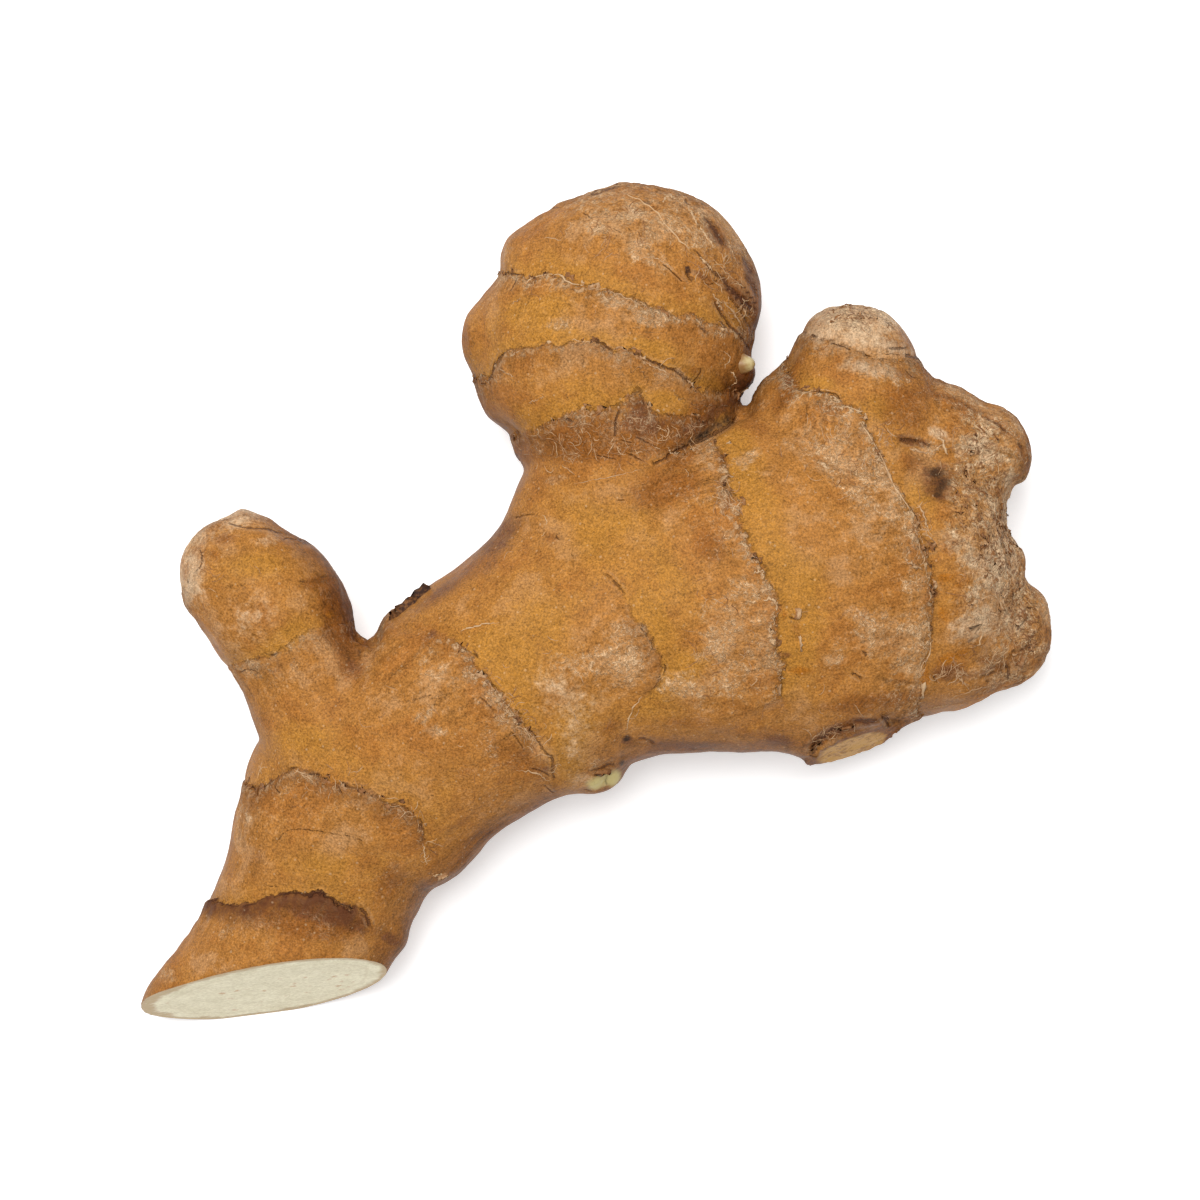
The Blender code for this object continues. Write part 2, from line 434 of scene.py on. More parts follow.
FINGERS = [
    (STEM, ["near_cut", "second", "third", "fourth", "fifth", "sixth"]),
    (LEFT, ["left_base", "left_middle", "left_tip"]),
    (KNOB, ["knob_base", "knob_middle", "knob_top"]),
    (UPPER, ["sixth", "upper_tip"]),
    (UPPER_NUB, ["sixth"]),
    (LOWER_NUB, ["sixth"]),
]
LAST_LENGTH = 12.0  # how far skin ages past the last ring, or before the first
BLEND = 0.07  # how softly the fingers' skins run together where they meet
NO_RING = 6.0  # the distance that stands for no ring near, in millimetres
BASE_FRESH = 0.3  # how golden the skin is before a finger's first ring
EDGE_WANDER = 1.0  # how far a ring's edge wanders from its line, in millimetres

# Small swells and dips of the outline: x, y, reach, and how far out, in millimetres.
SWELLS = [
    (-4.2, 58.5, 7, -1.3), (-12.1, 51.5, 3.5, 1.4), (-15.7, 46.9, 2.5, -1), (16, 57, 5, 0.7),
    (-19.3, 37.5, 4, -0.8), (-13.6, 23.8, 3, -1.7), (-12.1, 14.4, 5, 0.7), (20.2, 31.8, 1.5, 0.6),
    (37, 43, 6, -0.6), (44.9, 39, 4, -0.9), (28.3, 37.5, 3, -0.9), (61.5, 23.1, 5, -1.4),
    (60.5, 10.1, 3.5, -1.3), (64.4, 0.7, 3, 0.6), (50.7, -17.3, 7, -1), (-51.8, 12.7, 8, -0.5),
    (-56.2, -5.8, 5, -0.8), (-51.1, -13.7, 5, 0.7), (-53.3, -28.9, 5, -1), (-20, -39, 5, 1.1),
    (-55.4, -41.9, 4, 0.5), (-1.3, -27.4, 4, 0.8), (30.5, -23.1, 3, 1), (-33.8, -4.3, 2.5, -1),
    (-64.5, -56.5, 5, 1.3), (-20.8, 5, 5, -0.5), (-63, -51, 4, 0.5), (22.4, 34.4, 2.6, -0.9),
    (20.8, 27.4, 1.3, -1.5), (-28.6, -49.4, 2.2, 0.7), (42.9, -18.9, 1.8, -0.7),
    (-45.3, 10.6, 3, -0.9), (-51.8, 13.2, 1.6, 0.6), (-33.8, -5.2, 1.6, -1.5),
    (21.6, 32.6, 2.4, 0.5), (23.8, 30.6, 3, 0.7), (-33.4, -5.8, 1.4, -1.4), (20.1, 27.1, 1.1, -1.1),
]


def swell(place, facing):
    """Moves the flanks out or in by a bell round each of the swells, seen from above."""
    flank = smooth_step(0.85, 0.3, np.abs(facing[:, 2]))
    seen = seen_from_above(place)
    for x, y, reach, out in SWELLS:
        bell = np.exp(-((seen - (x, y)) ** 2).sum(axis=1) / reach**2)
        place += facing * (out * bell * flank)[:, None]


skin_mesh = drawn_solid()
place, facing = points_of(skin_mesh)
swell(place, facing)
on_cut = cut_back(place, KNIFE_CUT)
on_break = cut_back(place, SHOOT_BREAK)
seen = seen_from_above(place)
count = len(place)

spots = [along(place, line) for line, names in FINGERS]
shares = np.stack([share for spot, share, way in spots])
owner = shares.argmin(axis=0)
grain = np.choose(owner[:, None], [spot for spot, share, way in spots])
growth = np.choose(owner[:, None], [way for spot, share, way in spots])
weights = np.exp((shares.min(axis=0) - shares) / BLEND)
weights /= weights.sum(axis=0)

ring_gap = np.full(count, NO_RING)
age, fresh, lip, ring_dark, flaky = np.zeros((5, count))
for finger, (line, names) in enumerate(FINGERS):
    rings = [RINGS[name] for name in names]
    gaps = np.stack([past_ring(place, facing, seen, ring["line"]) for ring in rings])
    passed = (gaps > 0).sum(axis=0)
    padded = np.vstack([np.full(count, LAST_LENGTH), gaps, np.full(count, -LAST_LENGTH)])
    behind = np.take_along_axis(padded, passed[None], 0)[0]
    ahead = -np.take_along_axis(padded, passed[None] + 1, 0)[0]
    behind = np.where(passed == 0, np.maximum(LAST_LENGTH - ahead, 0), behind)
    ahead = np.where(passed == len(names), np.maximum(LAST_LENGTH - behind, 0), ahead)
    last_passed = np.clip(passed - 1, 0, len(names) - 1)
    next_ring = np.minimum(passed, len(names) - 1)
    nearer = np.where(behind < ahead, last_passed, next_ring)
    newest = np.array([ring["fresh"] for ring in rings])[last_passed]
    age += weights[finger] * behind / np.maximum(behind + ahead, 0.01)
    fresh += weights[finger] * np.where(passed == 0, BASE_FRESH, newest)
    mine = owner == finger
    ring_gap[mine] = np.take_along_axis(gaps, nearer[None], 0)[0][mine]
    lip[mine] = np.array([ring["lip"] for ring in rings])[nearer][mine]
    ring_dark[mine] = np.array([ring["dark"] for ring in rings])[nearer][mine]
    flaky[mine] = np.array([ring["flaky"] for ring in rings])[nearer][mine]
joint = smooth_step(0.55, 0.85, weights.max(axis=0))
ringness = smooth_step(4.0, 2.0, np.abs(ring_gap)) * joint


# Tones of the skin across the top, laid on like an airbrush's soft ovals: x, y, half-length,
# half-width, turn in degrees, and strength. Gold is new skin and bloom is its dull pinkish
# film; brown and purple are old sheath and bruises, and in the creases painted shade as well;
# the shade-and-spots ovals are painted shade in the creases and small dark pits; chalk and
# cork are dead skin, and chalk on the outer flanks is partly painted light.
GOLD = [
    (26.5, 4.5, 5.5, 3, -62, 1), (8, -3, 5, 2.6, -62, 1), (-1, 8, 6, 4, -30, 0.6),
    (-12, -8, 6, 4, -45, 0.9), (-4.5, -20.5, 3.2, 3.6, 0, 0.9), (-9, 41.5, 8, 3.4, 8, 1),
    (6.5, 36.8, 6, 1.6, -12, 0.9), (-4, 31.5, 10, 2.6, 0, 0.4), (9.5, 29.2, 4, 1.5, -14, 0.9),
    (16.5, 30.5, 2.4, 1.8, 0, 0.6), (-50, 5, 5, 2.2, 4, 1), (-45, -5.4, 4.6, 2.2, 32, 1),
    (-40, -38, 8, 3, 0, 0.6), (-42, -20, 7, 3, 0, 0.6), (31, 31.2, 4, 1.1, 0, 1),
    (41, 27.6, 5, 2.4, -25, 0.7), (46, 15, 3, 3.2, -60, 0.7), (20.6, 17.5, 4, 3, -40, 0.6),
    (-8, -4, 8, 5, -50, 0.7), (12, 2, 9, 4, -60, 0.6), (30, 0, 4, 7, 10, 0.5),
    (0, 12, 8, 3, -20, 0.6), (6, -16, 5, 3, 0, 0.4), (18.6, 53.4, 4.2, 1, -58, 1),
    (20.6, 40.3, 3.4, 0.7, -50, 1), (5, 12, 6, 3, 20, 0.3), (19.6, 51.6, 4, 0.8, -60, 1),
    (-4.2, -23.4, 2.6, 4.6, 0, 1), (-3.2, -18, 3, 2.6, 0, 0.8),
]
# Old sheath brown, and painted shade in the creases.
BROWN = [
    (9.6, 16, 8, 3.4, 18, 0.8), (44, 27, 6, 3, -20, 0.5), (16, 8, 4.5, 3.2, -45, 0.8),
    (-13.5, -21.5, 5, 4, -40, 0.7), (-25, -6, 6, 2.2, 30, 0.6), (-42, -47.3, 10, 2.6, -8, 0.8),
    (-37.3, -4, 7, 1.9, -72, 1), (-35.8, -8, 2.6, 1.8, -60, 1), (-42, 2.4, 3.4, 0.9, 15, 0.6),
    (-54.2, 8.8, 2.8, 1.2, 0, 0.8), (-55.6, 6.6, 1.6, 1.4, 0, 0.7), (-46, -9.5, 5, 1.6, 30, 0.5),
    (-1, 22.8, 12, 4.0, 5, 1), (9, 24.2, 6, 2.4, 18, 1), (5.3, 28.4, 1.5, 1.8, 90, 0.9),
    (45.5, 6.5, 2, 4.5, 15, 0.7), (47.5, 0, 1.8, 4, 0, 0.7), (44, -14, 6, 1.8, 8, 0.7),
    (37, -14.6, 7, 2.2, 10, 0.8), (46, 20, 2.4, 2, 0, 0.6), (27, 29, 5, 1.4, 55, 1),
    (-30, -40, 4, 3, 60, 0.6), (-49.5, -38, 2, 5, -10, 0.5), (58, -9.8, 2.4, 1.4, 20, 0.8),
    (60, -7, 1, 2.4, 0, 0.7), (15, 46.4, 3, 1, -35, 0.8), (17, 42.6, 3.4, 1, -50, 0.8),
    (13.4, 33, 2.6, 1.2, -20, 0.7), (-12, 50.4, 1.2, 3, -15, 0.4), (-19, 37.5, 1.3, 3.4, 5, 0.8),
    (-15.4, 33.6, 1.2, 2.4, -20, 0.5), (0.6, 36.4, 2.4, 0.8, 0, 0.8), (28.4, -4.5, 1.2, 4, 10, 0.6),
    (45, 29.6, 4, 1.6, -8, 0.6), (53, 27, 5, 1.4, -22, 0.7), (60.8, 21.6, 1.6, 2.2, 20, 0.7),
    (-46, -45, 8, 3, 0, 0.3), (1.6, -18.4, 2.6, 1.6, 50, 0.7), (-33, -12, 4, 2.4, 20, 0.3),
    (2, 58, 6, 1.2, 14, 0.5), (52, 9, 2.4, 1.4, 40, 0.6), (51.6, -0.6, 1.6, 2.6, 0, 0.6),
    (57, 15.4, 3, 1.6, 20, 0.8), (60, 4, 1.6, 3, 0, 0.5), (56, -8.6, 3, 1, 0, 0.8),
    (54, 17, 2, 3, 0, 0.5), (0, -23.6, 3.6, 1.2, 10, 0.25), (33.4, -19.3, 6, 1.5, 24, 1),
    (17.6, 20, 1.4, 2.4, 0, 0.8), (46, 12, 1.6, 3, -20, 0.7), (38, -1, 4, 6, 0, 0.35),
    (-20, -24, 8, 4, -40, 0.4), (12, -17.6, 10, 2, 0, 0.5), (4, 46.6, 6, 1.4, -20, 0.5),
    (26, -15, 6, 2.4, 0, 0.5), (-38.4, -2.6, 7.5, 2.6, -72, 1), (-40.6, 2.6, 2, 1.6, 0, 0.7),
    (50, 29, 6, 1.1, -20, 0.8), (57.8, 25, 4, 1.2, -35, 0.9), (61.6, 20, 1.4, 3, 10, 0.8),
    (44, 32.4, 4, 1.2, -20, 0.7), (28, 33, 5, 1.4, 55, 0.7), (-31, -42, 3, 4, -20, 0.5),
    (17.4, 52.4, 3.6, 1.3, -58, 1), (19.6, 44.4, 5.5, 1.4, -48, 1), (22.4, 40.4, 3, 1, -65, 0.9),
    (10, 15.5, 7, 3.4, 18, 0.6), (43.6, 27, 5, 3, -20, 0.7), (-9.6, -24, 4, 2, -50, 0.6),
    (21.4, 34.2, 1.6, 2.4, 0, 0.9), (-16, -34, 3, 8, -50, 0.4), (-38, -2, 5, 1.6, -72, 0.6),
    (0, 24, 11, 3, 5, 0.8), (10, 23.6, 6, 2.6, 22, 1), (19, 29.6, 1.6, 4, 30, 0.9),
    (-39, -46.4, 9, 3, -8, 0.9), (-49, -46, 4, 2, 30, 0.5), (-36.4, -9.8, 2.6, 1.8, -60, 0.9),
    (-34, -6.6, 1.5, 1.2, 0, 0.9), (42.4, 36.6, 3.6, 1.5, -30, 0.9), (11.6, 20.4, 4.6, 1.7, 28, 1),
    (14.2, 27.2, 3, 2, 40, 1), (-33, -54.4, 2, 3.4, -60, 0.9), (33.4, 27.6, 4, 1.9, -5, 0.8),
    (44.4, 19.8, 1.8, 2.6, 0, 0.8), (-7, 9, 2.2, 1.4, 0, 0.7), (50.2, 7.6, 1.6, 2, 0, 0.7),
]
BLOOM = [
    (2, -9, 6, 4.6, 0, 0.9), (-6, -9, 3, 2, 0, 0.4), (18.5, -5, 6.5, 8, 0, 0.8),
    (21, 20.2, 2.4, 1.4, 30, 1), (24.2, -6, 1.4, 6, 0, 0.6), (34, 20, 7, 4, -30, 0.8),
    (38, 12, 4, 6, 0, 0.5), (39.5, -5, 7, 5.4, 0, 0.7), (33.5, -8.6, 3, 1.8, 0, 0.7),
    (12.5, -13, 5, 3.4, 0, 0.8), (1, 54.2, 6, 1.8, 6, 0.9), (5.4, 50.6, 6, 2.2, -35, 0.9),
    (6, 56, 3.4, 1.4, -20, 0.9), (7.4, 40.6, 4.6, 1.8, 0, 1), (-5.4, 40, 2.6, 1.3, 0, 0.8),
    (1.6, 43, 2.4, 1.2, 0, 0.7), (-5.5, 35.8, 3, 1, 0, 0.5), (2.2, 35, 2.2, 0.9, 0, 0.9),
    (-13, 50, 1.2, 4, -15, 0.5), (-50, -30, 2, 5, -12, 0.6), (-51, -3, 4.4, 4, -40, 0.35),
    (-24, -19, 2.4, 1, 0, 0.9), (-25, -16.6, 4, 1.2, 25, 0.6), (34, 36, 5, 1.6, -8, 0.9),
    (41, 33.2, 4, 1.4, -8, 0.8), (-6.4, 17.4, 2.8, 0.8, 15, 1), (31.8, 19.4, 1, 0.7, -30, 1),
    (-53.5, -47.4, 1.2, 5, -40, 0.5), (-41.4, -25.8, 3, 0.9, -10, 0.8), (11.4, 15, 2, 1.4, 0, 0.5),
    (24, 18, 2, 1, 0, 0.6), (29.4, 24, 4, 1.4, 20, 0.6), (47.6, 22, 2.4, 1.2, -20, 0.8),
    (-7.4, 22.6, 4, 2.6, 10, 0.6), (-62.4, -54.6, 1.8, 1.6, 0, 0.8),
    (-0.4, -23.8, 2.6, 0.8, 30, 0.9), (55.4, -2.6, 3, 2.6, 0, 0.8),
]
# Bruises, and painted shade in the creases.
PURPLE = [
    (-14.5, 9.2, 6, 2.3, 42, 1), (18, 14.6, 1.5, 1.8, 0, 0.7), (-22.5, 1.4, 7, 1.7, 38, 0.8),
    (-16, 5, 5, 2, 40, 0.4), (-41.5, -44.1, 5.4, 1.2, -6, 0.9), (-35.6, -46, 2.6, 1.7, -35, 1),
    (-30.4, -48.9, 2, 1.3, -30, 1), (13, -21, 12, 1.0, 0, 0.8), (26, -20.4, 4, 1.4, -14, 0.9),
    (33, -19.6, 4, 1.3, 30, 1), (38.5, -17.5, 3.4, 0.9, 10, 1), (-24, -4.8, 1.2, 0.9, 70, 0.9),
    (52, -14.4, 10, 1.2, 18, 0.6), (-26.6, -42.6, 4, 1.4, 50, 0.6), (45.4, 23, 3, 0.7, -12, 0.9),
    (-36.6, -1, 3.6, 1.1, -72, 0.7), (26.8, -8, 1.4, 0.7, 0, 0.9), (2, 2.6, 3.2, 0.7, -52, 0.5),
    (8.6, -9.6, 1.5, 0.8, 70, 0.5), (52.4, 28, 3.6, 0.9, -24, 0.5), (47, 7.4, 1.6, 0.9, 10, 0.8),
    (48.4, 1, 1.2, 1.2, 0, 0.9), (48.8, 16.8, 3.2, 2.8, 0, 1), (45, 22.9, 3.4, 1, -12, 0.9),
    (-42, -44.8, 6, 1.7, -8, 0.8), (-36, -46.6, 3, 1.6, -35, 0.8), (62, -5.4, 2, 3, 0, 0.5),
    (50.4, -10.4, 2.8, 1.3, 0, 0.5), (19.8, 43.6, 3, 0.8, -45, 0.8), (21.6, 47, 2.6, 0.8, -62, 0.8),
    (16, 53.2, 2.6, 0.8, -55, 0.8), (-49.4, -19, 0.8, 4, 0, 0.3), (27.4, 31.4, 2.4, 0.8, 50, 0.6),
    (31.6, 28.9, 3, 0.7, 0, 0.5), (17.6, 20, 0.8, 1.4, 0, 0.8), (-10.6, 22, 1, 4, 12, 0.4),
    (4, -20.6, 1.6, 1, 0, 0.7), (18.4, 13.2, 1.2, 0.8, 0, 0.7), (-7.6, -24.6, 2.6, 1.4, -60, 0.7),
    (60.6, -8.4, 2.6, 1.6, 10, 0.7), (62.4, -3, 1.4, 3, 0, 0.5), (7, 25.2, 3.6, 2.6, 20, 0.7),
    (5.6, 27.6, 1.4, 2.4, 0, 0.8), (20, 43.6, 3.6, 0.9, -40, 1), (14.6, 46.8, 2.6, 0.7, -25, 0.9),
    (16.4, 52.6, 2.6, 1, -58, 1), (21.8, 47, 2.8, 0.9, -64, 1), (16.6, 27, 5, 1.8, 42, 0.9),
    (20.4, 31, 1.2, 3.4, 10, 1), (12.4, 24.4, 3.6, 1.2, 26, 0.8), (48.9, 17.2, 2.8, 3.2, 0, 1),
    (49.4, 15, 1.6, 1.2, 0, 0.8), (-39, -45.4, 7, 2.2, -10, 1), (-35.9, -9.4, 2.4, 1.3, -60, 0.8),
    (-34, -6.2, 1.3, 1, 0, 0.7), (8, 25.2, 5, 2, 10, 0.5), (50.4, -10.4, 3.2, 1.6, 5, 0.9),
    (56, -10.2, 3.4, 0.8, 15, 0.8), (60.6, -5.8, 2.4, 3.2, 20, 0.9), (4.6, 26.4, 2, 2, 0, 0.6),
]
# Chalk: pale dead skin; the ovals on the outer flanks of the right end and of the left finger are
# partly painted light.
CHALK = [
    (36.2, 41, 7, 3.4, -6, 1), (-59, 4, 2.2, 8, -8, 0.9), (-54, 12, 5, 1.2, 15, 0.8),
    (49, 24, 2.6, 1, -20, 0.7), (54, 22.6, 3, 2, -20, 0.7), (57, 1, 3, 3, 0, 0.6),
    (52.6, -4.6, 2.4, 2, 0, 0.8), (-50.6, -2.6, 5, 6, -30, 0.4), (36.6, 40, 8, 4.4, -6, 1),
    (39, 33.4, 5, 1.6, -8, 0.6), (56.4, 21, 3, 3, -30, 0.6), (55.6, 6, 4.4, 5, 0, 0.8),
    (59.8, -3.4, 3, 3.4, 0, 0.75), (59.6, 8, 2, 6, 0, 0.7), (-52, 11.6, 6, 1.6, 12, 0.6),
    (-5, -14, 7, 4.6, -48, 0.55), (31, 38.6, 2.4, 1, -40, 0.8), (43, 36, 3, 1, -10, 0.5),
    (-54, -33, 1.2, 7, -6, 0.5), (58, 12, 3, 4, 0, 0.5), (5, 56, 5, 1, -25, 0.5),
    (-48, 8.6, 3, 1, 10, 0.5), (30, -24.4, 4, 1, 20, 0.3), (-3.8, -21.4, 2.2, 4, 0, 0.34),
    (-2.6, -25.4, 3, 1.4, 10, 0.5), (64.6, -1, 1.4, 4, 0, 0.7), (61.8, 7.4, 1.6, 4, 10, 0.6),
    (59.6, 17, 1.6, 2, 0, 0.7), (-55.8, -7.4, 6, 1.3, -58, 0.45), (-57.8, 9.4, 2.4, 1.8, 40, 0.9),
    (55.2, -2.8, 3, 3.4, 0, 0.8),
]
# Painted shade in the creases where the fingers meet, and small dark pits and spots.
SHADE_AND_DARK_SPOTS = [
    (18.6, 26.7, 2.2, 1.2, 40, 0.62), (16.8, 25.3, 2.8, 1.1, 37, 0.62),
    (14.6, 23.8, 2.6, 0.7, 33, 0.65), (12.4, 22.4, 2.4, 0.4, 30, 0.7),
    (20.6, 31.4, 1.2, 1.6, 0, 0.5), (-35, -7.9, 1.9, 0.45, 65, 0.7), (48.4, 18.5, 1.7, 1.2, 0, 0.8),
    (49.3, 16.6, 2, 1.4, 40, 0.8), (48.8, 15.2, 1, 0.6, 0, 0.8), (3.9, -20.4, 0.7, 0.6, 0, 1),
    (3.1, -23.5, 0.6, 0.5, 0, 1), (62.8, -6.6, 1, 0.7, 30, 0.5), (-54.2, -47.9, 0.3, 0.3, 0, 0.9),
    (-1.7, -18.5, 0.35, 0.3, 0, 0.9), (-26.6, 0.9, 4, 0.7, 40, 0.9), (5.3, 29.9, 0.6, 0.7, 0, 0.4),
    (39, -2.8, 0.4, 0.3, 0, 0.7),
]
# Flanks where the painted shade is lifted, and most of the purple, so they stay pale.
UNSHADED_FLANKS = [
    (-3.4, -25.6, 4.6, 3.6, 0, 1), (18.6, 54.2, 6, 1.8, -52, 1), (64.4, -1.4, 2.4, 5, 0, 1),
    (61, 7, 2.4, 5, -10, 1), (59.6, 16.8, 2.6, 3, 0, 1), (54, -14.8, 8, 1.8, 17, 1),
    (63, -10.4, 2.4, 2.4, 0, 1), (-55.2, -8, 8, 2.2, -58, 1), (-60, 5, 2.2, 8, 0, 0.9),
]
CORKY = [
    (57.4, 8, 6, 12, 0, 1), (60.4, -1, 3, 5, 0, 0.8), (55, 20, 4.6, 7, 0, 0.9),
    (61.4, -5, 3.4, 6, 0, 1), (52, 12, 3, 6, 0, 0.8), (52.5, 0, 2.4, 4, 0, 0.6),
    (36.4, 40.8, 6.4, 2.8, -6, 1), (-58.8, 4, 1.6, 7, -8, 0.35), (-54, 11.7, 4.5, 0.9, 15, 0.4),
    (55, 24.6, 3, 1.4, -25, 0.8), (50.4, -10.6, 2.9, 1.5, 0, 0.3), (18, 15, 1, 3.2, -10, 0.8),
]
AMBER = [
    (49.8, 3.2, 1.9, 0.9, 10, 1), (51.6, 2.2, 0.9, 1, 0, 0.8), (50.4, -8.4, 3, 1, 20, 1),
    (49.6, -2, 1.4, 2, 0, 0.7), (55.8, 7.6, 0.5, 1, 0, 1), (47, -11, 0.9, 1.8, 0, 0.9),
    (29, -10.2, 2.8, 1, 0, 0.9), (10.7, 6.9, 0.6, 0.5, 0, 0.9), (-39, -2.2, 1, 1, 0, 0.8),
    (50.4, 7.4, 1.6, 1, 0, 0.6), (26.6, -2.2, 0.7, 1.6, 0, 0.7), (52.6, -7.4, 1.4, 0.6, 30, 0.8),
]
BUDS = [
    (-0.6, -26.2, 2.2, 1.2, 28, 1), (1.9, -25.4, 1.3, 1.7, -30, 1),
]

